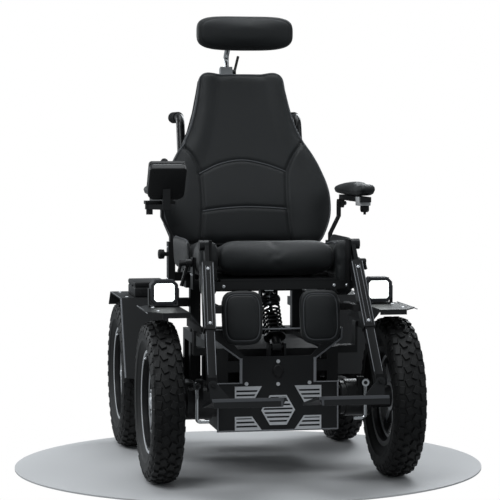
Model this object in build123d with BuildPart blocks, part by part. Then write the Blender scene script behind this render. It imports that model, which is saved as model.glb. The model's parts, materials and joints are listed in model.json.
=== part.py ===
from build123d import *
import math
import os

os.makedirs("parts", exist_ok=True)

# Power wheelchair, in millimetres. +Z is up, the chair faces -Y, and +X is its user's left.
# The origin is on the floor, under the middle of the chair.

# Driving dimensions: wheels and track
TYRE_OD = 432.0
TYRE_WIDTH = 88.0
TYRE_WALL = 8.0
TRACK = 640.0
WHEELBASE = 650.0
REAR_AXLE_Y = 375.0
RIM_BEAD_R = 127.0
RIM_LIP = 10.0
RIM_WIDTH = 60.0
RIM_WALL = 5.0
SPOKES = 8
SPOKE_WIDTH = 22.0
HUB_R = 40.0
HUB_REACH = 66.0
SHAFT_R = 12.5
SHAFT_REACH = 35.0

# Fits
FIT = 0.05
SEAT_GAP = 0.3

# Chassis
RAIL_X = 150.0
RAIL_W = 30.0
RAIL_Z = (135.0, 175.0)
UPPER_RAIL_Z = (325.0, 355.0)
CHASSIS_FRONT_Y = -281.0
CHASSIS_REAR_Y = 400.0
MOUNT_PLATE_T = 8.0
MOUNT_PLATE_Z = (110.0, 200.0)
MOUNT_SPACING = (120.0, 60.0)
MOUNT_HOLE_R = 4.5
TOWER_Y = (185.0, 215.0)
SEAT_PIVOT = (200.0, 500.0)
PIVOT_R = 8.0

# Drive units
ARM_X = (170.0, 182.0)
ARM_PIVOT_Y = -30.0
ARM_PIN_R = 12.0
GEARBOX_R = 50.0
MOTOR_R = 34.0
MOTOR_LENGTH = 150.0

# Shock absorber
SHOCK_LOWER = (-256.0, 353.0)
SHOCK_UPPER = (-143.0, 498.0)
SHOCK_BODY_R = 16.0
SHOCK_ROD_R = 6.0
SHOCK_EYE_R = 14.0
SHOCK_EYE_HALF = 12.0
PERCH_R = 30.0
PERCH_T = 4.0
SPRING_R = 24.0
SPRING_WIRE_R = 3.2
SPRING_TURNS = 8

# Seat
SEAT_TUBE_Z = (509.0, 534.0)
SEAT_TUBE_X = (130.0, 155.0)
SEAT_FRONT_Y = -284.0
PAN_T = 6.0
CUSHION_HALF_W = 215.0
CUSHION_Y = (-280.0, 95.0)
CUSHION_FRONT_TOP = 643.0
CUSHION_REAR_TOP = 600.0
CUSHION_NOSE = 18.0
LOBE_X = (160.0, 211.0)
LOBE_Y = (-280.0, -240.0)
LOBE_BOTTOM = 490.0

# Back
RECLINE = 15.3
BACK_HINGE = (200.0, 560.0)
CANE_X = 175.0
CANE_R = 12.5
SHELL_T = 8.0
BACK_CUSHION_T = 64.0
BACK_OUTLINE = ((30, 212), (53, 225), (106, 245), (152, 250), (196, 246), (242, 233), (294, 211),
                (337, 187), (381, 166), (439, 148), (505, 133), (535, 127), (552, 108))

# Headrest
HEADREST_X = (-140.0, 147.0)
HEADREST_Y = (208.0, 268.0)
HEADREST_Z = (1167.0, 1272.0)
HEADREST_POST_X = -30.0
HEADREST_POST_R = 8.0

# Armrests
POST_X = 232.0
POST_OFFSET = 25.0
POST_T = 8.0
POST_Y = (100.0, 124.0)
POST_BOTTOM = 530.0
RECEIVER_TOP = 620.0
RECEIVER_WALL = 6.0
ARM_HINGE_Z = 727.0
ARM_PAD_X = (252.5, 308.0)
ARM_PAD_Y = (-150.0, 185.0)
ARM_PAD_Z = (752.0, 785.0)

# Leg rests
LEG_PIVOT = (198.0, -303.0, 632.0)
FOOT_BOLT = (219.0, -522.0, 286.0)
HANGER_SIZE = 30.0
SLIDER_SIZE = 24.0
HANGER_LENGTH = 255.0
SLIDER_START = 150.0
FOOT_TILT = 12.0
FOOT_INNER_X = 40.0
FOOT_FRONT = 70.5
FOOT_REAR = 120.0
FOOT_DROP = 39.5
FOOT_T = 7.5
FOOT_LIP = 23.0
CALF_X = (47.0, 163.0)
CALF_Z = (369.0, 516.0)
CALF_Y = -345.0
CALF_T = 36.0
CALF_TILT = 8.0

# Fenders, lights and boxes
FENDER_T = 3.0
FENDER_INNER_X = 224.0
FRONT_FENDER_TOP = 462.0
FRONT_FENDER_Y = (-395.0, -150.0)
REAR_FENDER_TOP = 452.0
REAR_FENDER_Y = (230.0, 480.0)
LIGHT_X = 296.0
LIGHT_SIZE = (74.0, 45.0, 68.0)
LIGHT_Y = -190.0
BOX_X = (222.0, 320.0)
BOX_Y = (240.0, 400.0)
BOX_HEIGHT = 45.0

# Front panel
PANEL_T = 3.0
PANEL_BOTTOM = 130.0
PANEL_SHOULDER = 262.0
PANEL_STEP = 326.0
PANEL_HALF_W = 166.0
PANEL_NECK = 105.0
PANEL_FLARE = (176.0, 378.0)
GRILLE_T = 4.0

# Joystick controller
POD_CENTRE = (-291.0, -215.0, 802.0)
POD_SIZE = (100.0, 105.0, 38.0)
POD_TILT = 55.0
POD_HINGE = (-330.0, -165.0)

# Values worked out from the driving dimensions
AXLE_Z = TYRE_OD / 2
FRONT_AXLE_Y = REAR_AXLE_Y - WHEELBASE
WHEEL_X = TRACK / 2
GEARBOX_OUT = WHEEL_X - HUB_REACH - 4.0
RAIL_IN = RAIL_X - RAIL_W / 2
RAIL_OUT = RAIL_X + RAIL_W / 2
RAIL_TOP = RAIL_Z[1]
PAN_TOP = SEAT_TUBE_Z[1] + PAN_T
SIDES = (("left", 1), ("right", -1))
MIN_END = (Align.CENTER, Align.CENTER, Align.MIN)


def block(xs, ys, zs, mode=Mode.ADD, frame=Plane.XY):
    """A box between two coordinates on each axis of a frame."""
    centre = tuple((low + high) / 2 for low, high in (xs, ys, zs))
    size = [abs(high - low) for low, high in (xs, ys, zs)]
    with Locations(frame.location * Location(centre)):
        Box(*size, mode=mode)


def rod(start, end, radius, mode=Mode.ADD, frame=Plane.XY):
    """A round bar, or a bore, from one point to another."""
    run = Vector(*end) - Vector(*start)
    axis = Plane(origin=start, z_dir=run)
    with Locations(frame.location * axis.location):
        Cylinder(radius, run.length, align=MIN_END, mode=mode)


def prism(plane, points, depth, mode=Mode.ADD):
    """A polygon on a plane, extruded along the plane's normal."""
    with BuildSketch(plane) as outline:
        Polygon(*points)
    extrude(outline.sketch, amount=depth, mode=mode)


def bent_bar(points, bend, radius):
    """A round bar along straight runs joined by arcs."""
    with BuildLine() as path:
        FilletPolyline(*points, radius=bend)
    with BuildSketch(Plane(origin=path.line @ 0, z_dir=path.line % 0)) as section:
        Circle(radius)
    sweep(sections=section.sketch, path=path.line)


def folded_sheet(plane, points, thickness, depth):
    """A sheet bent along a line of points, its thickness to the right of the line's direction."""
    steps = [Vector(b[0] - a[0], b[1] - a[1]).normalized() for a, b in zip(points, points[1:])]
    normals = [Vector(step.Y, -step.X) for step in steps]
    inner = []
    for i, point in enumerate(points):
        before = normals[max(i - 1, 0)]
        after = normals[min(i, len(normals) - 1)]
        mitre = (before + after).normalized()
        reach = thickness / mitre.dot(after)
        inner.append((point[0] + mitre.X * reach, point[1] + mitre.Y * reach))
    prism(plane, list(points) + inner[::-1], depth)


def side_span(sign, low, high):
    """A span of |x| on one side of the chair, as x values."""
    return (sign * low, sign * high)


def section_plane(y):
    """A plane across the chair: its x is the chair's X, its y is up, and it extrudes rearwards."""
    return Plane(origin=(0, y, 0), x_dir=(-1, 0, 0), z_dir=(0, 1, 0))


def side_plane(x):
    """A plane along the chair: its x is the chair's Y, its y is up, and it extrudes towards +X."""
    return Plane(origin=(x, 0, 0), x_dir=(0, 1, 0), z_dir=(1, 0, 0))


def across(points):
    """Points (x, z) for a section plane, whose own x runs towards the chair's right."""
    return [(-x, z) for x, z in points]


# ---------------------------------------------------------------- chassis
arm_bracket_y = (ARM_PIVOT_Y - RAIL_W / 2, ARM_PIVOT_Y + RAIL_W / 2)
front_post_y = (CHASSIS_FRONT_Y, CHASSIS_FRONT_Y + RAIL_W)
rear_post_y = (CHASSIS_REAR_Y - 100, CHASSIS_REAR_Y - 100 + RAIL_W)
tray_bar_top = RAIL_TOP + 3
tray_bar_y = ((-150, -130), (100, 120))
shelf_y = (220, 350)
shelf_top = RAIL_TOP
tower_top = SEAT_PIVOT[1] + 15
outrigger_y = (REAR_FENDER_Y[0] + 5, REAR_FENDER_Y[0] + 25)
outrigger_z = (REAR_FENDER_TOP - FENDER_T - 25, REAR_FENDER_TOP - FENDER_T)
front_outrigger_y = (-260, -220)
front_flange_bottom = FRONT_FENDER_TOP - 57
lug_inner = SHOCK_BODY_R + 2
lug_outer = lug_inner + 6
arm_pin_end = ARM_X[1] + 2

with BuildPart() as chassis_frame:
    for side, sign in SIDES:
        rail_x = side_span(sign, RAIL_IN, RAIL_OUT)
        block(rail_x, (CHASSIS_FRONT_Y, CHASSIS_REAR_Y), RAIL_Z)
        block(rail_x, (CHASSIS_FRONT_Y, rear_post_y[1]), UPPER_RAIL_Z)
        for post_y in (front_post_y, arm_bracket_y, rear_post_y):
            block(rail_x, post_y, (RAIL_Z[1], UPPER_RAIL_Z[0]))
        block(rail_x, TOWER_Y, (RAIL_Z[1], tower_top))
        block(rail_x, (TOWER_Y[0], outrigger_y[1]), outrigger_z)
        block(side_span(sign, RAIL_OUT, WHEEL_X - 20), outrigger_y, outrigger_z)
        block(side_span(sign, RAIL_OUT, FENDER_INNER_X), front_outrigger_y, (335, 355))
        block(side_span(sign, FENDER_INNER_X - 6, FENDER_INNER_X), front_outrigger_y, (335, 420))
        block(side_span(sign, RAIL_OUT, ARM_X[1]), (REAR_AXLE_Y - 50, CHASSIS_REAR_Y - 10),
              (RAIL_Z[0], 266))
        rod((sign * RAIL_OUT, ARM_PIVOT_Y, AXLE_Z), (sign * arm_pin_end, ARM_PIVOT_Y, AXLE_Z), ARM_PIN_R)
        pivot_start = (sign * RAIL_OUT, *SEAT_PIVOT)
        rod(pivot_start, (sign * (RAIL_OUT + 20), *SEAT_PIVOT), PIVOT_R)
        block(side_span(sign, lug_inner, lug_outer), (CHASSIS_FRONT_Y + 5, SHOCK_LOWER[0] + 12),
              (300, SHOCK_LOWER[1] + 12))
    cross_x = (-RAIL_IN, RAIL_IN)
    block(cross_x, front_post_y, RAIL_Z)
    block(cross_x, front_post_y, (290, 320))
    block(cross_x, (CHASSIS_REAR_Y - RAIL_W, CHASSIS_REAR_Y), RAIL_Z)
    block(cross_x, rear_post_y, UPPER_RAIL_Z)
    block(cross_x, TOWER_Y, (470, 500))
    for bar_y in tray_bar_y:
        block(cross_x, bar_y, (tray_bar_top - 20, tray_bar_top))
    block(cross_x, shelf_y, (shelf_top - 3, shelf_top))
    rod((-lug_outer, *SHOCK_LOWER), (lug_outer, *SHOCK_LOWER), PIVOT_R)
    block((-RAIL_OUT, RAIL_OUT), (CHASSIS_REAR_Y, CHASSIS_REAR_Y + MOUNT_PLATE_T), MOUNT_PLATE_Z)
    mount_plane = Plane(origin=(0, CHASSIS_REAR_Y + MOUNT_PLATE_T, sum(RAIL_Z) / 2),
                        x_dir=(-1, 0, 0), z_dir=(0, 1, 0))
    with Locations(mount_plane):
        with GridLocations(MOUNT_SPACING[0], MOUNT_SPACING[1], 2, 2):
            Hole(MOUNT_HOLE_R, depth=MOUNT_PLATE_T)
chassis_frame.part.label = "chassis_frame"
export_step(chassis_frame.part, "parts/chassis_frame.step")

box_x = 130.0
box_y = (-215.0, 165.0)
box_z = (tray_bar_top, tray_bar_top + 167)
box_wall = 3.0
with BuildPart() as battery_box:
    block((-box_x, box_x), box_y, box_z)
    block((-box_x + box_wall, box_x - box_wall), (box_y[0] + box_wall, box_y[1] - box_wall),
          (box_z[0] + box_wall, box_z[1] - box_wall), mode=Mode.SUBTRACT)
battery_box.part.label = "battery_box"
export_step(battery_box.part, "parts/battery_box.step")

cell_gap = 4.0
cell_x = box_x - box_wall - cell_gap
middle_y = sum(box_y) / 2
cell_z = (box_z[0] + box_wall, box_z[1] - box_wall - 8)
with BuildPart() as batteries:
    block((-cell_x, cell_x), (box_y[0] + box_wall + cell_gap, middle_y - cell_gap), cell_z)
    block((-cell_x, cell_x), (middle_y + cell_gap, box_y[1] - box_wall - cell_gap), cell_z)
batteries.part.label = "batteries"
export_step(batteries.part, "parts/batteries.step")

controller_size = (160.0, 110.0, 55.0)
fin_depth = 12.0
with BuildPart() as motor_controller:
    with Locations((0, sum(shelf_y) / 2, shelf_top)):
        Box(*controller_size, align=MIN_END)
    fin_z = shelf_top + controller_size[2]
    for fin_x in range(-70, 71, 14):
        block((fin_x, fin_x + 4), (240, 330), (fin_z, fin_z + fin_depth))
motor_controller.part.label = "motor_controller"
export_step(motor_controller.part, "parts/motor_controller.step")

# ---------------------------------------------------------------- front panel
with BuildPart() as front_panel:
    outline = [(-PANEL_HALF_W, PANEL_BOTTOM), (PANEL_HALF_W, PANEL_BOTTOM), (PANEL_HALF_W, PANEL_SHOULDER),
               (PANEL_NECK, PANEL_SHOULDER), (PANEL_NECK, PANEL_STEP), PANEL_FLARE,
               (PANEL_FLARE[0], PANEL_FLARE[1] + 30), (PANEL_FLARE[0] - 15, PANEL_FLARE[1] + 30),
               (PANEL_NECK - 15, PANEL_STEP + 6), (15 - PANEL_NECK, PANEL_STEP + 6),
               (15 - PANEL_FLARE[0], PANEL_FLARE[1] + 30), (-PANEL_FLARE[0], PANEL_FLARE[1] + 30),
               (-PANEL_FLARE[0], PANEL_FLARE[1]), (-PANEL_NECK, PANEL_STEP),
               (-PANEL_NECK, PANEL_SHOULDER), (-PANEL_HALF_W, PANEL_SHOULDER)]
    prism(section_plane(CHASSIS_FRONT_Y - PANEL_T), across(outline), PANEL_T)
front_panel.part.label = "front_panel"
export_step(front_panel.part, "parts/front_panel.step")

panel_face = CHASSIS_FRONT_Y - PANEL_T
grille_outer = 118.0
grille_wide = 73.0
grille_narrow = 47.0
grille_top = (252.0, 207.0)
grille_bottom = (126.0 + 8, 171.0)
louvre_pitch = 11.0
louvre_gap = 5.0
frame_edge = 4.0
hexagon = ((-23, 227), (23, 227), (46, 187), (23, 147), (-23, 147), (-46, 187))
panes = [hexagon]
for side, sign in SIDES:
    for wide_z, narrow_z in (grille_top, grille_bottom):
        panes.append(((sign * grille_outer, wide_z), (sign * (grille_outer - grille_wide), wide_z),
                      (sign * (grille_outer - grille_narrow), narrow_z), (sign * grille_outer, narrow_z)))
with BuildPart() as front_grille:
    for pane in panes:
        with BuildSketch(section_plane(panel_face - GRILLE_T)) as pane_face:
            Polygon(*across(pane))
        with BuildSketch(section_plane(panel_face - GRILLE_T)) as pane_inside:
            Polygon(*across(pane))
            offset(amount=-frame_edge)
            low = min(z for x, z in pane)
            high = max(z for x, z in pane)
            rows = int((high - low) / louvre_pitch)
            for row in range(rows):
                with Locations((0, low + louvre_gap + row * louvre_pitch)):
                    Rectangle(4 * grille_outer, louvre_pitch - louvre_gap, mode=Mode.SUBTRACT)
        extrude(pane_face.sketch, amount=GRILLE_T)
        extrude(pane_inside.sketch, amount=GRILLE_T, mode=Mode.SUBTRACT)
front_grille.part.label = "front_grille"
export_step(front_grille.part, "parts/front_grille.step")

screw_r = 5.0
screw_height = 3.0
screw_spots = ((-86, 262 - 3), (86, 262 - 3), (0, 318), (0, 262 - 5))
with BuildPart() as panel_screws:
    for screw_x, screw_z in screw_spots:
        rod((screw_x, panel_face, screw_z), (screw_x, panel_face - screw_height, screw_z), screw_r)
panel_screws.part.label = "panel_screws"
export_step(panel_screws.part, "parts/panel_screws.step")

# ---------------------------------------------------------------- fenders, lights, side boxes
fender_out = WHEEL_X + TYRE_WIDTH / 2
fender_flat_x = FENDER_INNER_X + 30
front_corner = (fender_out - 38, FRONT_FENDER_Y[0] + 62)
rear_corner = (fender_out - 24, FRONT_FENDER_Y[1] - 45)
lip_height = 14.0
with BuildPart() as front_fenders:
    for side, sign in SIDES:
        profile = [(fender_out, FRONT_FENDER_TOP), (fender_flat_x, FRONT_FENDER_TOP),
                   (FENDER_INNER_X, front_flange_bottom + 20), (FENDER_INNER_X, front_flange_bottom)]
        steps = [(x * sign, z) for x, z in profile]
        line = across(steps)
        if sign < 0:
            line = line[::-1]
        depth = FRONT_FENDER_Y[1] - FRONT_FENDER_Y[0]
        folded_sheet(section_plane(FRONT_FENDER_Y[0]), line, FENDER_T, depth)
        block(side_span(sign, fender_flat_x, front_corner[0]), (FRONT_FENDER_Y[0], FRONT_FENDER_Y[0] + FENDER_T),
              (FRONT_FENDER_TOP - lip_height, FRONT_FENDER_TOP - FENDER_T))
        for corner_x, corner_y, edge_y in ((front_corner[0], front_corner[1], FRONT_FENDER_Y[0]),
                                           (rear_corner[0], rear_corner[1], FRONT_FENDER_Y[1])):
            cut = ((sign * corner_x, edge_y), (sign * fender_out, edge_y), (sign * fender_out, corner_y))
            prism(Plane.XY.offset(FRONT_FENDER_TOP - FENDER_T), cut, FENDER_T, mode=Mode.SUBTRACT)
front_fenders.part.label = "front_fenders"
export_step(front_fenders.part, "parts/front_fenders.step")

facet_foot = (REAR_FENDER_Y[0] - 105, REAR_FENDER_TOP - 222)
tail = (REAR_FENDER_Y[1] + 45, REAR_FENDER_TOP - 40)
with BuildPart() as rear_fenders:
    for side, sign in SIDES:
        start_x = FENDER_INNER_X + 3 if sign > 0 else -fender_out
        line = (facet_foot, (REAR_FENDER_Y[0], REAR_FENDER_TOP), (REAR_FENDER_Y[1], REAR_FENDER_TOP), tail)
        folded_sheet(side_plane(start_x), line, FENDER_T, fender_out - FENDER_INNER_X - 3)
rear_fenders.part.label = "rear_fenders"
export_step(rear_fenders.part, "parts/rear_fenders.step")

with BuildPart() as rear_side_boxes:
    for side, sign in SIDES:
        block(side_span(sign, *BOX_X), BOX_Y, (REAR_FENDER_TOP, REAR_FENDER_TOP + BOX_HEIGHT))
rear_side_boxes.part.label = "rear_side_boxes"
export_step(rear_side_boxes.part, "parts/rear_side_boxes.step")

bracket_t = 3.0
bracket_half = LIGHT_SIZE[0] / 2 + 1
bracket_y = (LIGHT_Y - 12, LIGHT_Y + 12)
light_bottom = FRONT_FENDER_TOP + bracket_t + 2
light_mid = light_bottom + LIGHT_SIZE[2] / 2
with BuildPart() as light_brackets:
    for side, sign in SIDES:
        inner = LIGHT_X - bracket_half
        outer = LIGHT_X + bracket_half
        block(side_span(sign, inner - bracket_t, outer + bracket_t), bracket_y,
              (FRONT_FENDER_TOP, FRONT_FENDER_TOP + bracket_t))
        for low, high in ((inner - bracket_t, inner), (outer, outer + bracket_t)):
            block(side_span(sign, low, high), bracket_y, (FRONT_FENDER_TOP, light_mid + 10))
light_brackets.part.label = "light_brackets"
export_step(light_brackets.part, "parts/light_brackets.step")

with BuildPart() as light_housings:
    for side, sign in SIDES:
        with Locations((sign * LIGHT_X, LIGHT_Y, light_mid)):
            Box(*LIGHT_SIZE)
    chamfer(light_housings.edges().filter_by(Axis.Y), 12)
    for side, sign in SIDES:
        for pin_end in (-1, 1):
            pin_x = sign * LIGHT_X + pin_end * LIGHT_SIZE[0] / 2
            rod((pin_x, LIGHT_Y, light_mid), (pin_x + pin_end * 0.9, LIGHT_Y, light_mid), 6)
light_housings.part.label = "light_housings"
export_step(light_housings.part, "parts/light_housings.step")


# ---------------------------------------------------------------- drive units
def gearmotor(sign, axle_y, motor_turn):
    """A right-angle gearbox on the axle line with its motor along the chair."""
    face = (sign * ARM_X[1], axle_y, AXLE_Z)
    rod(face, (sign * GEARBOX_OUT, axle_y, AXLE_Z), GEARBOX_R)
    motor_x = sign * (ARM_X[1] + GEARBOX_OUT) / 2
    motor_end = axle_y + motor_turn * (GEARBOX_R + MOTOR_LENGTH)
    rod((motor_x, axle_y, AXLE_Z), (motor_x, motor_end, AXLE_Z), MOTOR_R)
    bore_start = (sign * (GEARBOX_OUT - SHAFT_REACH), axle_y, AXLE_Z)
    rod(bore_start, (sign * GEARBOX_OUT, axle_y, AXLE_Z), SHAFT_R + FIT, mode=Mode.SUBTRACT)


with BuildPart() as rear_gearmotors:
    for side, sign in SIDES:
        gearmotor(sign, REAR_AXLE_Y, -1)
rear_gearmotors.part.label = "rear_gearmotors"
export_step(rear_gearmotors.part, "parts/rear_gearmotors.step")

lever_x = 228.0
lever_z = AXLE_Z + 46
lever_pin_y = FRONT_AXLE_Y - GEARBOX_R
lever_r = 5.0
lever_plane_y = lever_pin_y - 8
lever_drop = 95.0
lever_tip = 32.0
for side, sign in SIDES:
    arm_end = (sign * ARM_X[1], ARM_PIVOT_Y, AXLE_Z)
    arm_start = (sign * ARM_X[0], ARM_PIVOT_Y, AXLE_Z)
    with BuildPart() as front_arm:
        arm_sides = ((ARM_PIVOT_Y, AXLE_Z - 28), (ARM_PIVOT_Y, AXLE_Z + 28), (FRONT_AXLE_Y, AXLE_Z + 45),
                     (FRONT_AXLE_Y, AXLE_Z - 45))
        arm_x = sign * ARM_X[0]
        plate_plane = side_plane(arm_x if sign > 0 else -ARM_X[1])
        prism(plate_plane, arm_sides, ARM_X[1] - ARM_X[0])
        rod(arm_start, arm_end, 28)
        rod((arm_x, FRONT_AXLE_Y, AXLE_Z), (sign * ARM_X[1], FRONT_AXLE_Y, AXLE_Z), 45)
        rod(arm_start, arm_end, ARM_PIN_R + FIT, mode=Mode.SUBTRACT)
    front_arm.part.label = f"front_arm_{side}"
    export_step(front_arm.part, f"parts/front_arm_{side}.step")

    with BuildPart() as front_gearmotor:
        gearmotor(sign, FRONT_AXLE_Y, 1)
        block(side_span(sign, lever_x - 18, GEARBOX_OUT - SHAFT_REACH + 12), (lever_pin_y, FRONT_AXLE_Y - 30),
              (AXLE_Z + 10, lever_z + 14))
        rod((sign * lever_x, lever_pin_y, lever_z), (sign * lever_x, lever_plane_y - 8, lever_z), lever_r)
    front_gearmotor.part.label = f"front_gearmotor_{side}"
    export_step(front_gearmotor.part, f"parts/front_gearmotor_{side}.step")

    with BuildPart() as freewheel_lever:
        top = (sign * lever_x, lever_plane_y, lever_z)
        corner = (sign * lever_x, lever_plane_y, lever_z - lever_drop)
        tip = (sign * (lever_x - lever_tip), lever_plane_y, lever_z - lever_drop)
        bent_bar((top, corner, tip), 10, lever_r)
        hub_back = (sign * lever_x, lever_pin_y - 2, lever_z)
        hub_front = (sign * lever_x, lever_plane_y - 6, lever_z)
        rod(hub_back, hub_front, lever_r + 5)
        rod(hub_back, hub_front, lever_r + FIT, mode=Mode.SUBTRACT)
    freewheel_lever.part.label = f"freewheel_lever_{side}"
    export_step(freewheel_lever.part, f"parts/freewheel_lever_{side}.step")

# ---------------------------------------------------------------- wheels
tyre_r = TYRE_OD / 2
half_tyre = TYRE_WIDTH / 2
bead_out = RIM_WIDTH / 2 - 4
lip = RIM_WIDTH / 2
lip_r = RIM_BEAD_R + RIM_LIP
drop_r = RIM_BEAD_R - 15
for end, axle_y in (("front", FRONT_AXLE_Y), ("rear", REAR_AXLE_Y)):
    for side, sign in SIDES:
        wheel_plane = Plane(origin=(sign * WHEEL_X, axle_y, AXLE_Z), x_dir=(sign, 0, 0), z_dir=(0, -sign, 0))
        wheel_axis = Axis((0, axle_y, AXLE_Z), (1, 0, 0))
        with BuildPart() as tyre:
            with BuildSketch(wheel_plane):
                with BuildLine():
                    Polyline((-bead_out, RIM_BEAD_R), (-bead_out, lip_r + 1), (-half_tyre, tyre_r - 46), (-half_tyre + 5, tyre_r - 16))
                    ThreePointArc((-half_tyre + 5, tyre_r - 16), (0, tyre_r), (half_tyre - 5, tyre_r - 16))
                    Polyline((half_tyre - 5, tyre_r - 16), (half_tyre, tyre_r - 46), (bead_out, lip_r + 1),
                             (bead_out, RIM_BEAD_R),
                             (bead_out - TYRE_WALL, RIM_BEAD_R), (half_tyre - TYRE_WALL, tyre_r - 46),
                             (half_tyre - 5 - TYRE_WALL, tyre_r - 16 - TYRE_WALL))
                    ThreePointArc((half_tyre - 5 - TYRE_WALL, tyre_r - 16 - TYRE_WALL),
                                  (0, tyre_r - 2 * TYRE_WALL),
                                  (-half_tyre + 5 + TYRE_WALL, tyre_r - 16 - TYRE_WALL))
                    Polyline((-half_tyre + 5 + TYRE_WALL, tyre_r - 16 - TYRE_WALL),
                             (-half_tyre + TYRE_WALL, tyre_r - 46), (-bead_out + TYRE_WALL, RIM_BEAD_R),
                             (-bead_out, RIM_BEAD_R))
                make_face()
            revolve(axis=wheel_axis)
        tyre.part.label = f"tyre_{end}_{side}"
        export_step(tyre.part, f"parts/tyre_{end}_{side}.step")

        with BuildPart() as rim:
            barrel = ((-lip, lip_r), (-bead_out, lip_r), (-bead_out, RIM_BEAD_R), (-14, RIM_BEAD_R), (-8, drop_r),
                      (8, drop_r), (14, RIM_BEAD_R), (bead_out, RIM_BEAD_R), (bead_out, lip_r), (lip, lip_r),
                      (lip, RIM_BEAD_R - RIM_WALL), (17, RIM_BEAD_R - RIM_WALL), (11, drop_r - RIM_WALL),
                      (-11, drop_r - RIM_WALL), (-17, RIM_BEAD_R - RIM_WALL), (-lip, RIM_BEAD_R - RIM_WALL))
            with BuildSketch(wheel_plane):
                Polygon(*barrel)
            revolve(axis=wheel_axis)
            hub_in = (sign * (WHEEL_X - HUB_REACH), axle_y, AXLE_Z)
            hub_out = (sign * (WHEEL_X + 18), axle_y, AXLE_Z)
            rod((sign * (WHEEL_X - 10), axle_y, AXLE_Z), hub_out, HUB_R)
            rod(hub_in, hub_out, HUB_R - 10)
            for k in range(SPOKES):
                turn = Location((sign * WHEEL_X, axle_y, AXLE_Z), (360 * k / SPOKES, 0, 0))
                spoke_frame = Plane(turn)
                block(side_span(sign, 0, 14), (-SPOKE_WIDTH / 2, SPOKE_WIDTH / 2),
                      (HUB_R - 12, drop_r - RIM_WALL / 2), frame=spoke_frame)
            shaft_end = (sign * (WHEEL_X + 10), axle_y, AXLE_Z)
            rod(hub_in, shaft_end, SHAFT_R + FIT, mode=Mode.SUBTRACT)
            rod((sign * (GEARBOX_OUT - SHAFT_REACH + 1), axle_y, AXLE_Z), shaft_end, SHAFT_R)
        rim.part.label = f"rim_{end}_{side}"
        export_step(rim.part, f"parts/rim_{end}_{side}.step")

# ---------------------------------------------------------------- shock absorber
shock_run = Vector(0, SHOCK_UPPER[0] - SHOCK_LOWER[0], SHOCK_UPPER[1] - SHOCK_LOWER[1])
shock_length = shock_run.length
shock_frame = Plane(origin=(0, *SHOCK_LOWER), x_dir=(1, 0, 0), z_dir=shock_run)
perch_low = 30.0
perch_high = shock_length - 34
body_top = 100.0
with BuildPart() as shock_body:
    rod((0, 0, 0), (0, 0, body_top), SHOCK_BODY_R, frame=shock_frame)
    rod((-SHOCK_EYE_HALF, 0, 0), (SHOCK_EYE_HALF, 0, 0), SHOCK_EYE_R, frame=shock_frame)
    rod((0, 0, perch_low), (0, 0, perch_low + PERCH_T), PERCH_R, frame=shock_frame)
    block((-20, 20), (-20, 20), (-20, 5), mode=Mode.SUBTRACT, frame=shock_frame)
    rod((-SHOCK_EYE_HALF, 0, 0), (SHOCK_EYE_HALF, 0, 0), SHOCK_EYE_R, frame=shock_frame)
    rod((-20, 0, 0), (20, 0, 0), PIVOT_R + FIT, mode=Mode.SUBTRACT, frame=shock_frame)
    rod((0, 0, perch_low + 10), (0, 0, body_top), SHOCK_ROD_R + FIT, mode=Mode.SUBTRACT, frame=shock_frame)
shock_body.part.label = "shock_body"
export_step(shock_body.part, "parts/shock_body.step")

eye_play = 1.2
with BuildPart() as shock_rod:
    rod((0, 0, 60), (0, 0, shock_length - 8), SHOCK_ROD_R, frame=shock_frame)
    rod((0, 0, perch_high), (0, 0, perch_high + PERCH_T), PERCH_R, frame=shock_frame)
    eye_ends = ((-SHOCK_EYE_HALF, 0, shock_length), (SHOCK_EYE_HALF, 0, shock_length))
    rod(*eye_ends, SHOCK_EYE_R, frame=shock_frame)
    rod(*eye_ends, PIVOT_R + eye_play, mode=Mode.SUBTRACT, frame=shock_frame)
shock_rod.part.label = "shock_rod"
export_step(shock_rod.part, "parts/shock_rod.step")

spring_start = perch_low + PERCH_T + SPRING_WIRE_R + SEAT_GAP
spring_end = perch_high - SPRING_WIRE_R - SEAT_GAP
spring_rise = spring_end - spring_start
spring_base = shock_frame.offset(spring_start)
with BuildPart() as shock_spring:
    with BuildLine() as coil:
        Helix(pitch=spring_rise / SPRING_TURNS, height=spring_rise, radius=SPRING_R,
              center=spring_base.origin, direction=spring_base.z_dir)
    with BuildSketch(Plane(origin=coil.line @ 0, z_dir=coil.line % 0)) as wire:
        Circle(SPRING_WIRE_R)
    sweep(sections=wire.sketch, path=coil.line, is_frenet=True)
shock_spring.part.label = "shock_spring"
export_step(shock_spring.part, "parts/shock_spring.step")

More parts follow.
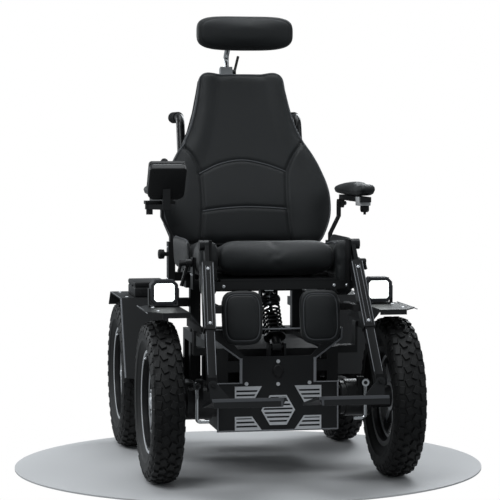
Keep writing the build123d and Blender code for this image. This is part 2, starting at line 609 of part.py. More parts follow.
# ---------------------------------------------------------------- seat
seat_rear_y = (150.0, 178.0)
hanger_plate_x = (184.0, 192.0)
receiver_y = (POST_Y[0] - RECEIVER_WALL, POST_Y[1] + RECEIVER_WALL)
receiver_x = (POST_X - POST_T / 2 - RECEIVER_WALL, POST_X + POST_T / 2 + RECEIVER_WALL)
recline_plate_x = (183.3, 191.0)
recline_ear_r = 14.0
latch_y = (-235.0, -195.0)
latch_x = (CUSHION_HALF_W + 2, CUSHION_HALF_W + 8)
latch_z = 580.0
latch_pin_y = sum(latch_y) / 2
knob_x = (206.0, 217.0)
with BuildPart() as seat_frame:
    block((-205, 205), (SEAT_FRONT_Y - 16, SEAT_FRONT_Y), (512, SEAT_TUBE_Z[1]))
    block((-158, 158), (SEAT_FRONT_Y - 12, seat_rear_y[0] + 12), (SEAT_TUBE_Z[1], PAN_TOP))
    block((-recline_plate_x[1], recline_plate_x[1]), seat_rear_y, SEAT_TUBE_Z)
    block((-SEAT_TUBE_X[0], SEAT_TUBE_X[0]), (SHOCK_UPPER[0] - 18, SHOCK_UPPER[0] + 18), (518, SEAT_TUBE_Z[1]))
    rod((-lug_outer, *SHOCK_UPPER), (lug_outer, *SHOCK_UPPER), PIVOT_R)
    for side, sign in SIDES:
        block(side_span(sign, *SEAT_TUBE_X), (SEAT_FRONT_Y, seat_rear_y[0]), SEAT_TUBE_Z)
        block(side_span(sign, SEAT_TUBE_X[1], receiver_x[0]), POST_Y, SEAT_TUBE_Z)
        block(side_span(sign, *receiver_x), receiver_y, (SEAT_TUBE_Z[0], RECEIVER_TOP))
        block(side_span(sign, POST_X - POST_T / 2 - FIT, POST_X + POST_T / 2 + FIT),
              (POST_Y[0] - FIT, POST_Y[1] + FIT), (SEAT_TUBE_Z[0], RECEIVER_TOP), mode=Mode.SUBTRACT)
        block(side_span(sign, lug_inner, lug_outer), (SHOCK_UPPER[0] - 16, SHOCK_UPPER[0] + 16),
              (SHOCK_UPPER[1] - 16, 520))
        seat_lug_x = (RAIL_OUT + 2, RAIL_OUT + 18)
        block(side_span(sign, *seat_lug_x), (seat_rear_y[0], SEAT_PIVOT[0]), (485, SEAT_TUBE_Z[1]))
        rod((sign * seat_lug_x[0], *SEAT_PIVOT), (sign * seat_lug_x[1], *SEAT_PIVOT), 15)
        rod((sign * seat_lug_x[0], *SEAT_PIVOT), (sign * seat_lug_x[1], *SEAT_PIVOT), PIVOT_R + FIT,
            mode=Mode.SUBTRACT)
        block(side_span(sign, *recline_plate_x), (seat_rear_y[0] + 5, BACK_HINGE[0] + recline_ear_r),
              (SEAT_TUBE_Z[0] + 12, BACK_HINGE[1]))
        rod((sign * recline_plate_x[0], *BACK_HINGE), (sign * recline_plate_x[1], *BACK_HINGE), recline_ear_r)
        rod((sign * recline_plate_x[0], *BACK_HINGE), (sign * (CANE_X - 9), *BACK_HINGE), PIVOT_R)
        block(side_span(sign, *hanger_plate_x), (LEG_PIVOT[1] - 15, SEAT_FRONT_Y), (512, LEG_PIVOT[2] + 13))
        leg_pin = (LEG_PIVOT[1], LEG_PIVOT[2])
        rod((sign * hanger_plate_x[1], *leg_pin), (sign * knob_x[1], *leg_pin), PIVOT_R)
        rod((sign * knob_x[0], *leg_pin), (sign * knob_x[1], *leg_pin), 14)
        block(side_span(sign, SEAT_TUBE_X[1], latch_x[1]), latch_y, SEAT_TUBE_Z)
        block(side_span(sign, *latch_x), latch_y, (SEAT_TUBE_Z[1], latch_z + 16))
        rod((sign * latch_x[1], latch_pin_y, latch_z), (sign * (latch_x[1] + 18), latch_pin_y, latch_z), 5)
seat_frame.part.label = "seat_frame"
export_step(seat_frame.part, "parts/seat_frame.step")

with BuildPart() as seat_cushion:
    cushion_bottom = PAN_TOP + SEAT_GAP
    profile = ((CUSHION_Y[0], cushion_bottom), (CUSHION_Y[1], cushion_bottom), (CUSHION_Y[1], CUSHION_REAR_TOP),
               (CUSHION_Y[0] + CUSHION_NOSE, CUSHION_FRONT_TOP), (CUSHION_Y[0], CUSHION_FRONT_TOP - CUSHION_NOSE))
    prism(side_plane(-CUSHION_HALF_W), profile, 2 * CUSHION_HALF_W)
    for side, sign in SIDES:
        block(side_span(sign, *LOBE_X), LOBE_Y, (LOBE_BOTTOM, cushion_bottom + 10))
seat_cushion.part.label = "seat_cushion"
export_step(seat_cushion.part, "parts/seat_cushion.step")

for side, sign in SIDES:
    with BuildPart() as clamp_lever:
        hub_x = (latch_x[1] + SEAT_GAP, latch_x[1] + 16)
        rod((sign * hub_x[0], latch_pin_y, latch_z), (sign * hub_x[1], latch_pin_y, latch_z), 11)
        rod((sign * (hub_x[1] - 6), latch_pin_y, latch_z), (sign * (hub_x[1] + 12), latch_pin_y, latch_z - 62), 5)
        rod((sign * hub_x[0], latch_pin_y, latch_z), (sign * (hub_x[1] + 4), latch_pin_y, latch_z), 5 + FIT,
            mode=Mode.SUBTRACT)
    clamp_lever.part.label = f"clamp_lever_{side}"
    export_step(clamp_lever.part, f"parts/clamp_lever_{side}.step")

# ---------------------------------------------------------------- back
back_frame_plane = Plane(origin=(0, *BACK_HINGE), x_dir=(1, 0, 0), z_dir=(0, 0, 1)).rotated((-RECLINE, 0, 0))
# In this frame z runs up the back and -y points to the sitter.
cane_top = 430.0
grip_reach = 130.0
shell_back = -(CANE_R + SEAT_GAP)
shell_front = shell_back - SHELL_T
cushion_back = shell_front - SEAT_GAP
headrest_grip_x = (HEADREST_POST_X - 20, HEADREST_POST_X + 16)
grip_back_z = BACK_HINGE[1] + cane_top * math.cos(math.radians(RECLINE))
grip_back_y = BACK_HINGE[0] + cane_top * math.sin(math.radians(RECLINE))
with BuildPart() as back_frame:
    for side, sign in SIDES:
        cane_start = back_frame_plane.from_local_coords((sign * CANE_X, 0, 18))
        bent_bar((cane_start, (sign * CANE_X, grip_back_y, grip_back_z),
                  (sign * CANE_X, grip_back_y + grip_reach, grip_back_z)), 35, CANE_R)
        lug = (sign * (CANE_X - 7), sign * (CANE_X + 7))
        rod((lug[0], *BACK_HINGE), (lug[1], *BACK_HINGE), 16)
        block(lug, (-10, 10), (0, 26), frame=back_frame_plane)
        rod((lug[0], *BACK_HINGE), (lug[1], *BACK_HINGE), PIVOT_R + FIT, mode=Mode.SUBTRACT)
    for bar_z in ((90, 115), (330, 355)):
        block((-CANE_X, CANE_X), (-CANE_R, CANE_R), bar_z, frame=back_frame_plane)
back_frame.part.label = "back_frame"
export_step(back_frame.part, "parts/back_frame.step")


def back_outline(inset):
    """The back's outline, with its sides drawn in by an inset."""
    right = [(half - inset, up) for up, half in BACK_OUTLINE]
    return right + [(-x, up) for x, up in right[::-1]]


with BuildPart() as back_shell:
    with BuildSketch(back_frame_plane.rotated((90, 0, 0)).offset(-shell_back)) as shell_face:
        Polygon(*back_outline(6))
    extrude(shell_face.sketch, amount=SHELL_T)
back_shell.part.label = "back_shell"
export_step(back_shell.part, "parts/back_shell.step")

with BuildPart() as back_cushion:
    with BuildSketch(back_frame_plane.rotated((90, 0, 0)).offset(-cushion_back)) as cushion_face:
        Polygon(*back_outline(0))
    extrude(cushion_face.sketch, amount=BACK_CUSHION_T)
    front_edges = back_cushion.faces().sort_by(Axis.Y)[0].edges()
    chamfer(front_edges, 22)
back_cushion.part.label = "back_cushion"
export_step(back_cushion.part, "parts/back_cushion.step")

grip_r = 17.0
grip_start = 40.0
with BuildPart() as push_grips:
    for side, sign in SIDES:
        grip_a = (sign * CANE_X, grip_back_y + grip_start, grip_back_z)
        grip_b = (sign * CANE_X, grip_back_y + grip_reach + 6, grip_back_z)
        grip_c = (sign * CANE_X, grip_back_y + grip_reach, grip_back_z)
        rod(grip_a, grip_b, grip_r)
        rod(grip_a, grip_c, CANE_R + FIT, mode=Mode.SUBTRACT)
push_grips.part.label = "push_grips"
export_step(push_grips.part, "parts/push_grips.step")

# ---------------------------------------------------------------- headrest
post_low = 440.0
post_bend = 612.0
clamp_z = (490.0, 582.0)
tilt_spot = (HEADREST_Y[1] + 16, sum(HEADREST_Z) / 2)
headrest_clamp_depth = 12.0
lever_hub_z = clamp_z[1] - 14
with BuildPart() as headrest_clamp:
    block(headrest_grip_x, (shell_back + SEAT_GAP, headrest_clamp_depth), clamp_z, frame=back_frame_plane)
    rod((HEADREST_POST_X, 0, clamp_z[0]), (HEADREST_POST_X, 0, clamp_z[1]), HEADREST_POST_R + FIT,
        mode=Mode.SUBTRACT, frame=back_frame_plane)
    rod((headrest_grip_x[1], 0, lever_hub_z), (headrest_grip_x[1] + 12, 0, lever_hub_z), 4,
        frame=back_frame_plane)
headrest_clamp.part.label = "headrest_clamp"
export_step(headrest_clamp.part, "parts/headrest_clamp.step")

with BuildPart() as headrest_lever:
    hub_x = (headrest_grip_x[1] + SEAT_GAP, headrest_grip_x[1] + 11)
    rod((hub_x[0], 0, lever_hub_z), (hub_x[1], 0, lever_hub_z), 9, frame=back_frame_plane)
    rod((hub_x[1] - 4, 0, lever_hub_z), (hub_x[1] + 10, 0, lever_hub_z + 50), 4, frame=back_frame_plane)
    rod((hub_x[0], 0, lever_hub_z), (hub_x[1] + 4, 0, lever_hub_z), 4 + FIT, mode=Mode.SUBTRACT,
        frame=back_frame_plane)
headrest_lever.part.label = "headrest_lever"
export_step(headrest_lever.part, "parts/headrest_lever.step")

tilt_pin_half = 22.0
tilt_pin_r = 5.0
with BuildPart() as headrest_post:
    post_start = back_frame_plane.from_local_coords((HEADREST_POST_X, 0, post_low))
    post_turn = back_frame_plane.from_local_coords((HEADREST_POST_X, 0, post_bend))
    bent_bar((post_start, post_turn, (HEADREST_POST_X, *tilt_spot)), 22, HEADREST_POST_R)
    rod((HEADREST_POST_X - tilt_pin_half, *tilt_spot), (HEADREST_POST_X + tilt_pin_half, *tilt_spot), tilt_pin_r)
headrest_post.part.label = "headrest_post"
export_step(headrest_post.part, "parts/headrest_post.step")

pad_plate_t = 3.0
with BuildPart() as headrest_pad:
    block(HEADREST_X, HEADREST_Y, HEADREST_Z)
    chamfer(headrest_pad.edges().filter_by(Axis.Y), 35)
    plate_y = (HEADREST_Y[1] + SEAT_GAP, HEADREST_Y[1] + SEAT_GAP + pad_plate_t)
    plate_x = (HEADREST_POST_X - 30, HEADREST_POST_X + 30)
    block(plate_x, plate_y, (tilt_spot[1] - 25, tilt_spot[1] + 25))
    for low in (-tilt_pin_half, tilt_pin_half - 8):
        ear_x = (HEADREST_POST_X + low, HEADREST_POST_X + low + 8)
        block(ear_x, (plate_y[1], tilt_spot[0] + 9), (tilt_spot[1] - 9, tilt_spot[1] + 9))
        rod((ear_x[0], *tilt_spot), (ear_x[1], *tilt_spot), tilt_pin_r + FIT, mode=Mode.SUBTRACT)
headrest_pad.part.label = "headrest_pad"
export_step(headrest_pad.part, "parts/headrest_pad.step")

# ---------------------------------------------------------------- armrests
arm_hinge = (sum(POST_Y) / 2, ARM_HINGE_Z)
hinge_pin_r = 6.0
upper_post_x = POST_X + POST_OFFSET
pin_reach = 16.0
rail_x = (upper_post_x + POST_T / 2 + SEAT_GAP, upper_post_x + POST_T / 2 + 30)
rail_z = (ARM_PAD_Z[0] - 15, ARM_PAD_Z[0] - SEAT_GAP)
rail_y = (ARM_PAD_Y[0] + 10, arm_hinge[0] + 16)
mount_plate_z = (rail_z[0], rail_z[0] + 9)
pod_pin_r = 5.0
pod_hub_r = 12.0
pod_hub_z = (rail_z[0] - 14, rail_z[0] - SEAT_GAP)
for side, sign in SIDES:
    with BuildPart() as arm_post:
        half = POST_T / 2
        lower_end = RECEIVER_TOP + 20
        upper_start = lower_end + 50
        bar = ((POST_X - half, POST_BOTTOM), (POST_X + half, POST_BOTTOM), (POST_X + half, lower_end),
               (upper_post_x + half, upper_start), (upper_post_x + half, ARM_HINGE_Z),
               (upper_post_x - half, ARM_HINGE_Z), (upper_post_x - half, upper_start), (POST_X - half, lower_end))
        bar_points = across([(sign * x, z) for x, z in bar])
        prism(section_plane(POST_Y[0]), bar_points, POST_Y[1] - POST_Y[0])
        post_face = (sign * (upper_post_x - half), *arm_hinge)
        rod(post_face, (sign * (upper_post_x + half), *arm_hinge), 12)
        rod(post_face, (sign * (upper_post_x + half + pin_reach), *arm_hinge), hinge_pin_r)
    arm_post.part.label = f"arm_post_{side}"
    export_step(arm_post.part, f"parts/arm_post_{side}.step")

    with BuildPart() as arm_rail:
        block(side_span(sign, *rail_x), rail_y, rail_z)
        ear_x = (rail_x[0], rail_x[0] + 10)
        block(side_span(sign, *ear_x), (arm_hinge[0] - 13, arm_hinge[0] + 13), (ARM_HINGE_Z, rail_z[1]))
        rod((sign * ear_x[0], *arm_hinge), (sign * ear_x[1], *arm_hinge), 13)
        bore_end = (sign * (upper_post_x + POST_T / 2 + pin_reach + 2), *arm_hinge)
        rod((sign * ear_x[0], *arm_hinge), bore_end, hinge_pin_r + FIT, mode=Mode.SUBTRACT)
        if sign < 0:
            block((POD_HINGE[0] - pod_hub_r, -rail_x[0]), (POD_HINGE[1] - pod_hub_r, rail_y[0] + 1), mount_plate_z)
            rod((*POD_HINGE, mount_plate_z[0]), (*POD_HINGE, pod_hub_z[0] - 2), pod_pin_r)
            rod((*POD_HINGE, pod_hub_z[0] - SEAT_GAP), (*POD_HINGE, pod_hub_z[0] - 14), pod_pin_r + 4)
    arm_rail.part.label = f"arm_rail_{side}"
    export_step(arm_rail.part, f"parts/arm_rail_{side}.step")

    with BuildPart() as arm_pad:
        block(side_span(sign, *ARM_PAD_X), ARM_PAD_Y, ARM_PAD_Z)
        chamfer(arm_pad.edges().filter_by(Axis.Z), 10)
    arm_pad.part.label = f"arm_pad_{side}"
    export_step(arm_pad.part, f"parts/arm_pad_{side}.step")

# ---------------------------------------------------------------- leg rests
for side, sign in SIDES:
    leg_top = Vector(sign * LEG_PIVOT[0], LEG_PIVOT[1], LEG_PIVOT[2])
    leg_end = Vector(sign * FOOT_BOLT[0], FOOT_BOLT[1], FOOT_BOLT[2])
    leg_run = leg_end - leg_top
    leg_plane = Plane(origin=leg_top, x_dir=(1, 0, -leg_run.X / leg_run.Z), z_dir=leg_run)
    foot_plane = Plane(origin=leg_end, x_dir=(1, 0, 0), z_dir=(0, 0, 1)).rotated((-FOOT_TILT, 0, 0))
    outer = HANGER_SIZE / 2
    inner = SLIDER_SIZE / 2
    calf_mid = (CALF_Z[0] + CALF_Z[1]) / 2
    calf_plane = Plane(origin=(0, CALF_Y, calf_mid), x_dir=(1, 0, 0), z_dir=(0, 0, 1)).rotated((-CALF_TILT, 0, 0))
    calf_half = (CALF_Z[1] - CALF_Z[0]) / 2
    calf_back = CALF_T + SEAT_GAP
    with BuildPart() as leg_hanger:
        eye_x = side_span(sign, hanger_plate_x[1] + SEAT_GAP, knob_x[0] - SEAT_GAP)
        block((-outer, outer), (-outer, outer), (56, HANGER_LENGTH), frame=leg_plane)
        block((sign * (hanger_plate_x[1] - LEG_PIVOT[0] + 1), sign * 6), (-12, 12), (0, 60),
              frame=leg_plane)
        rod((eye_x[0], leg_top.Y, leg_top.Z), (eye_x[1], leg_top.Y, leg_top.Z), 14)
        rod((eye_x[0], leg_top.Y, leg_top.Z), (eye_x[1], leg_top.Y, leg_top.Z), PIVOT_R + FIT, mode=Mode.SUBTRACT)
        bracket_x = side_span(sign, CALF_X[1] + 12, CALF_X[1] + 24)
        bracket_z = (calf_mid + 18, calf_mid + 36)
        block(side_span(sign, CALF_X[1] + 12, LEG_PIVOT[0] + 6), (CALF_Y - 72, CALF_Y - 52), bracket_z)
        block(bracket_x, (CALF_Y - 60, CALF_Y + calf_back + 4), bracket_z)
        block(side_span(sign, CALF_X[0] + 20, CALF_X[1] + 24), (calf_back, calf_back + 4), (18, 36),
              frame=calf_plane)
        block(side_span(sign, CALF_X[0] + 15, CALF_X[1] - 15), (calf_back, calf_back + 3), (-50, 50),
              frame=calf_plane)
        block((-inner - FIT, inner + FIT), (-inner - FIT, inner + FIT), (SLIDER_START - 70, HANGER_LENGTH + 5),
              mode=Mode.SUBTRACT, frame=leg_plane)
    leg_hanger.part.label = f"leg_hanger_{side}"
    export_step(leg_hanger.part, f"parts/leg_hanger_{side}.step")

    with BuildPart() as leg_slider:
        block((-inner, inner), (-inner, inner), (SLIDER_START, leg_run.length - 2), frame=leg_plane)
        block((-11, 11), (-inner, inner), (-13, 20), frame=foot_plane)
        rod((0, 0, 0), (0, -27, 0), hinge_pin_r, frame=foot_plane)
        for k in range(4):
            hole_at = HANGER_LENGTH + 25 + 22 * k
            rod((-inner - 1, 0, hole_at), (inner + 1, 0, hole_at), 4, mode=Mode.SUBTRACT, frame=leg_plane)
    leg_slider.part.label = f"leg_slider_{side}"
    export_step(leg_slider.part, f"parts/leg_slider_{side}.step")

    with BuildPart() as calf_pad:
        block(side_span(sign, *CALF_X), (0, CALF_T), (-calf_half, calf_half), frame=calf_plane)
        chamfer(calf_pad.edges().group_by(SortBy.LENGTH)[0], 14)
    calf_pad.part.label = f"calf_pad_{side}"
    export_step(calf_pad.part, f"parts/calf_pad_{side}.step")

    with BuildPart() as footplate:
        plate_z = (-FOOT_DROP - FOOT_T, -FOOT_DROP)
        reach_in = FOOT_BOLT[0] - FOOT_INNER_X
        block((-sign * reach_in, sign * 8), (-FOOT_FRONT, FOOT_REAR), plate_z, frame=foot_plane)
        lip = ((-sign * (reach_in - 12), -FOOT_DROP - FOOT_LIP), (-sign * reach_in, -FOOT_DROP),
               (sign * 8, -FOOT_DROP), (sign * 8, -FOOT_DROP - FOOT_LIP))
        lip_plane = foot_plane.rotated((90, 0, 0)).offset(FOOT_FRONT - 4)
        prism(lip_plane, lip, 4)
        gusset = ((-sign * 48, -FOOT_DROP - 1), (-sign * 10, 4), (sign * 10, 4), (sign * 8, -FOOT_DROP - 1))
        gusset_plane = foot_plane.rotated((90, 0, 0)).offset(inner + SEAT_GAP)
        prism(gusset_plane, gusset, 6)
        rod((0, -inner - SEAT_GAP, 0), (0, -inner - SEAT_GAP - 6, 0), 12, frame=foot_plane)
        rod((0, 0, 0), (0, -40, 0), hinge_pin_r + FIT, mode=Mode.SUBTRACT, frame=foot_plane)
    footplate.part.label = f"footplate_{side}"
    export_step(footplate.part, f"parts/footplate_{side}.step")

# ---------------------------------------------------------------- joystick controller
pod_plane = Plane(origin=POD_CENTRE, x_dir=(1, 0, 0), z_dir=(0, 0, 1)).rotated((-POD_TILT, 0, 0))
# In this frame z points up to the user's hand and -y points to the raised front edge.
half_pod = [size / 2 for size in POD_SIZE]
stick_y = -18.0
well_r = 14.0
well_depth = 15.0
ball_z = half_pod[2] - 6.0
ball_r = 8.0
gimbal_r = 13.2
knob_r = 11.0
stick_height = 52.0
with BuildPart() as controller_pod:
    block((-half_pod[0], half_pod[0]), (-half_pod[1], half_pod[1]), (-half_pod[2], half_pod[2]), frame=pod_plane)
    rod((0, stick_y, half_pod[2] - well_depth), (0, stick_y, half_pod[2] + 1), well_r, mode=Mode.SUBTRACT,
        frame=pod_plane)
controller_pod.part.label = "controller_pod"
export_step(controller_pod.part, "parts/controller_pod.step")

with BuildPart() as joystick_gimbal:
    rod((0, stick_y, ball_z - 2), (0, stick_y, ball_z + 2), gimbal_r, frame=pod_plane)
    rod((0, stick_y, ball_z - 3), (0, stick_y, ball_z + 3), ball_r + 0.5, mode=Mode.SUBTRACT, frame=pod_plane)
joystick_gimbal.part.label = "joystick_gimbal"
export_step(joystick_gimbal.part, "parts/joystick_gimbal.step")

with BuildPart() as joystick:
    with Locations(pod_plane.location * Location((0, stick_y, ball_z))):
        Sphere(ball_r)
    rod((0, stick_y, ball_z), (0, stick_y, ball_z + stick_height), 4, frame=pod_plane)
    rod((0, stick_y, ball_z + stick_height - 26), (0, stick_y, ball_z + stick_height), knob_r, frame=pod_plane)
joystick.part.label = "joystick"
export_step(joystick.part, "parts/joystick.step")

bar_z = (pod_hub_z[0], pod_hub_z[1])
post_at = (POD_CENTRE[0], POD_CENTRE[1] + 3)
post_half = 10.0
pod_base = pod_plane.from_local_coords((0, 0, -half_pod[2]))
slope = math.tan(math.radians(POD_TILT))
with BuildPart() as controller_arm:
    rod((*POD_HINGE, bar_z[0]), (*POD_HINGE, bar_z[1]), pod_hub_r)
    start = Vector(*POD_HINGE)
    finish = Vector(*post_at)
    run = finish - start
    beam_plane = Plane(origin=(start.X, start.Y, bar_z[0]), x_dir=run, z_dir=(0, 0, 1))
    block((0, run.length), (-post_half, post_half), (0, bar_z[1] - bar_z[0]), frame=beam_plane)
    rear = post_at[1] + post_half
    front = post_at[1] - post_half
    column = ((front, bar_z[0]), (rear, bar_z[0]), (rear, pod_base.Z - (rear - pod_base.Y) * slope),
              (front, pod_base.Z - (front - pod_base.Y) * slope))
    prism(side_plane(post_at[0] - post_half), column, 2 * post_half)
    rod((*POD_HINGE, bar_z[0] - 1), (*POD_HINGE, bar_z[1] + 1), pod_pin_r + FIT, mode=Mode.SUBTRACT)
controller_arm.part.label = "controller_arm"
export_step(controller_arm.part, "parts/controller_arm.step")
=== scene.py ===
"""An all-terrain power wheelchair around a fixed mechanical frame, laid out as an add-on."""
import json
import math

import bpy
from mathutils import Matrix, Vector
from mathutils.bvhtree import BVHTree
from mathutils.kdtree import KDTree


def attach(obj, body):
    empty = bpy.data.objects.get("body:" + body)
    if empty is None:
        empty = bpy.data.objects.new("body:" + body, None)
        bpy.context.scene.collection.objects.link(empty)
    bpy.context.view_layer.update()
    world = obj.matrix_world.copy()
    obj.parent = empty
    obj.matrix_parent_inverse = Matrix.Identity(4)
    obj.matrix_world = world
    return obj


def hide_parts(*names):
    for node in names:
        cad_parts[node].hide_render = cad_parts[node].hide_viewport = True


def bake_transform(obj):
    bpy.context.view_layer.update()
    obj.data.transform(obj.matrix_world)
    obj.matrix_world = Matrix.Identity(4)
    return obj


bl_info = {
    "name": "Power wheelchair",
    "version": (1, 0, 0),
    "blender": (4, 5, 0),
    "location": "3D View > Sidebar > Wheelchair",
    "description": "Upholstery, tyres, lamps, controls and finishes of a power wheelchair",
    "category": "Object",
}

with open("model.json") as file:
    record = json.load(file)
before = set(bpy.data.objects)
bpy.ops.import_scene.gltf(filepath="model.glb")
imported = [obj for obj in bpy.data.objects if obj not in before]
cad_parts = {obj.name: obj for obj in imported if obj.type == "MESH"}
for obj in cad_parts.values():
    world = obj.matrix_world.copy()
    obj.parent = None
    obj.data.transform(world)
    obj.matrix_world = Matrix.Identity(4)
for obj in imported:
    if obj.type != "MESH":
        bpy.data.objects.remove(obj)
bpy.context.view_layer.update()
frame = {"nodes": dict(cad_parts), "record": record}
NODES = frame["nodes"]
SIDES = (("left", 1), ("right", -1))
RECLINE = math.radians(15.3)
BACK_HINGE = Vector((0, 0.200, 0.560))
POD_CENTRE = Vector((-0.291, -0.215, 0.802))
POD_TILT = math.radians(55)
AXLES = {"front": -0.275, "rear": 0.375}
AXLE_Z = 0.216
WHEEL_X = 0.320
TYRE_R = 0.216
TYRE_HALF = 0.044
SEAT_BASE = 0.5405
CAMERA_SPOT = (-1.0391, -5.4977, 0.9213)
CAMERA_YAW, CAMERA_PITCH = 0.1826, -0.0573
CAMERA_LENS = 143.6
LIGHT_COLOUR = (0.93, 0.97, 1.0)
LIGHT_AIM = Vector((0, 0, 0.6))


# ------------------------------------------------------------------ settings
class UpholsterySettings(bpy.types.PropertyGroup):
    """Sizes and colour of the seat, back, headrest and pads."""
    colour: bpy.props.FloatVectorProperty(
        name="Leather colour", description="Base colour of the leather", subtype="COLOR",
        size=3, min=0, max=1, default=(0.0034, 0.0044, 0.0050))
    piping: bpy.props.FloatProperty(
        name="Piping radius", description="Radius of the piping along the back's edge", unit="LENGTH",
        default=0.0032)
    swell: bpy.props.FloatProperty(
        name="Swell", description="Most that a cushion's cover may bulge", unit="LENGTH", default=0.012)


class WheelSettings(bpy.types.PropertyGroup):
    """Tread and trim of the wheels."""
    lugs: bpy.props.IntProperty(
        name="Lugs", description="Tread blocks around each row of a tyre", default=36, min=12)
    lug_height: bpy.props.FloatProperty(
        name="Lug height", description="Depth of the tread", unit="LENGTH", default=0.006)
    bolts: bpy.props.IntProperty(
        name="Hub bolts", description="Small bolts in the ring on each hub", default=10, min=3)


class LampSettings(bpy.types.PropertyGroup):
    """Glow of the two lamps."""
    glow: bpy.props.FloatProperty(
        name="Glow", description="Strength of the lamp's light", default=1.7, min=0)
    tint: bpy.props.FloatVectorProperty(
        name="Tint", description="Colour of the lamp's light", subtype="COLOR", size=3, min=0, max=1,
        default=(0.95, 1.0, 0.98))


# ------------------------------------------------------------------ shader expressions
class Flow:
    """A socket's value in a material; arithmetic on it adds Math nodes."""

    def __init__(self, sheet, socket):
        self.sheet = sheet
        self.socket = socket

    def math(self, operation, other=0.0, swap=False):
        """One Math node on this value and another."""
        pair = (other, self) if swap else (self, other)
        return self.sheet.node("ShaderNodeMath", {"operation": operation}, {0: pair[0], 1: pair[1]})

    def __add__(self, other):
        return self.math("ADD", other)

    def __radd__(self, other):
        return self.math("ADD", other, swap=True)

    def __sub__(self, other):
        return self.math("SUBTRACT", other)

    def __rsub__(self, other):
        return self.math("SUBTRACT", other, swap=True)

    def __mul__(self, other):
        return self.math("MULTIPLY", other)

    def __rmul__(self, other):
        return self.math("MULTIPLY", other, swap=True)

    def __truediv__(self, other):
        return self.math("DIVIDE", other)

    def __pow__(self, other):
        return self.math("POWER", other)

    def __gt__(self, other):
        return self.math("GREATER_THAN", other)

    def __lt__(self, other):
        return self.math("LESS_THAN", other)


class Sheet:
    """One material and its nodes."""

    def __init__(self, name, **sockets):
        self.material = bpy.data.materials.new(name)
        self.material.use_nodes = True
        self.tree = self.material.node_tree
        self.shader = self.tree.nodes["Principled BSDF"]
        for socket, value in sockets.items():
            self.set(socket.replace("_", " "), value)

    def node(self, kind, settings=None, values=None, out=0):
        """Adds a node: its settings first, then what its sockets hold. Returns one output."""
        made = self.tree.nodes.new(kind)
        for key, value in (settings or {}).items():
            if key == "stops":
                self.stops(made.color_ramp, value)
            else:
                setattr(made, key, value)
        for key, value in (values or {}).items():
            if isinstance(value, Flow):
                self.tree.links.new(value.socket, made.inputs[key])
            else:
                made.inputs[key].default_value = value
        return Flow(self, made.outputs[out])

    def stops(self, ramp, stops):
        """Sets a colour ramp's stops from (place, grey or colour) pairs."""
        while len(ramp.elements) < len(stops):
            ramp.elements.new(1.0)
        for element, (place, colour) in zip(ramp.elements, stops):
            element.position = place
            grey = isinstance(colour, (int, float))
            element.color = (colour, colour, colour, 1) if grey else (*colour, 1)

    def set(self, socket, value):
        """Gives a socket of the main shader a value or a link."""
        if isinstance(value, Flow):
            self.tree.links.new(value.socket, self.shader.inputs[socket])
        else:
            target = self.shader.inputs[socket]
            colour = isinstance(value, (tuple, list)) and len(value) == 3
            target.default_value = (*value, 1) if colour else value

    def place(self):
        """The point on the object, in metres."""
        return self.node("ShaderNodeTexCoord", out=3)

    def noise(self, scale, detail=3.0, rough=0.5, where=None):
        """Soft cloudy noise from 0 to 1."""
        values = {"Scale": scale, "Detail": detail, "Roughness": rough, "Vector": where or self.place()}
        return self.node("ShaderNodeTexNoise", None, values)

    def cells(self, scale, feature="F1", where=None):
        """Distance in a pattern of cells."""
        values = {"Scale": scale, "Vector": where or self.place()}
        return self.node("ShaderNodeTexVoronoi", {"feature": feature}, values)

    def stretch(self, scale):
        """The point on the object, scaled along each axis."""
        return self.node("ShaderNodeMapping", None, {"Vector": self.place(), "Scale": scale})

    def ramp(self, value, *stops):
        """A value passed through a colour ramp."""
        return self.node("ShaderNodeValToRGB", {"stops": stops}, {0: value})

    def blend(self, mask, first, second):
        """A colour between two colours."""
        def full(colour):
            return colour if isinstance(colour, Flow) else (*colour, 1)
        return self.node("ShaderNodeMix", {"data_type": "RGBA"}, {0: mask, 6: full(first), 7: full(second)}, out=2)

    def bump(self, height, strength, distance):
        """Feeds a height to the shader's normal."""
        values = {"Height": height, "Strength": strength, "Distance": distance}
        self.set("Normal", self.node("ShaderNodeBump", None, values))

    def edges(self, low=0.50, high=0.58):
        """A mask that is 1 on sharp outer edges."""
        pointy = self.node("ShaderNodeNewGeometry", out=7)
        return self.ramp(pointy, (low, 0.0), (high, 1.0))


def leather_finish():
    """Black upholstery leather: fine pebbled grain, soft sheen, paler where it is worn."""
    colour = tuple(bpy.context.scene.wheelchair_upholstery.colour)
    sheet = Sheet("leather_black", Specular_IOR_Level=0.40)
    worn = sheet.noise(9.0, 4.0, 0.6)
    pale = tuple(c * 1.9 for c in colour)
    sheet.set("Base Color", sheet.blend(worn ** 2.2, colour, pale))
    grain = sheet.cells(620.0, "DISTANCE_TO_EDGE")
    creases = sheet.noise(60.0, 5.0, 0.65)
    sheet.set("Roughness", 0.40 + worn * 0.14 + (1 - sheet.ramp(grain, (0.0, 0.0), (0.25, 1.0))) * 0.10)
    sheet.bump(sheet.ramp(grain, (0.0, 0.0), (0.18, 1.0)) * 0.6 + creases * 0.55, 0.32, 0.0011)
    sheet.set("Sheen Weight", 0.08)
    return sheet.material


def thread_finish():
    """Grey piping and topstitch: twisted cord with a slight gloss."""
    sheet = Sheet("piping_grey", Specular_IOR_Level=0.4)
    twist = sheet.node("ShaderNodeTexWave", {"bands_direction": "DIAGONAL"},
                       {"Scale": 210.0, "Distortion": 1.0, "Vector": sheet.place()})
    sheet.set("Base Color", sheet.blend(twist, (0.040, 0.042, 0.046), (0.085, 0.088, 0.094)))
    sheet.set("Roughness", 0.42 + twist * 0.15)
    sheet.bump(twist, 0.35, 0.0008)
    return sheet.material


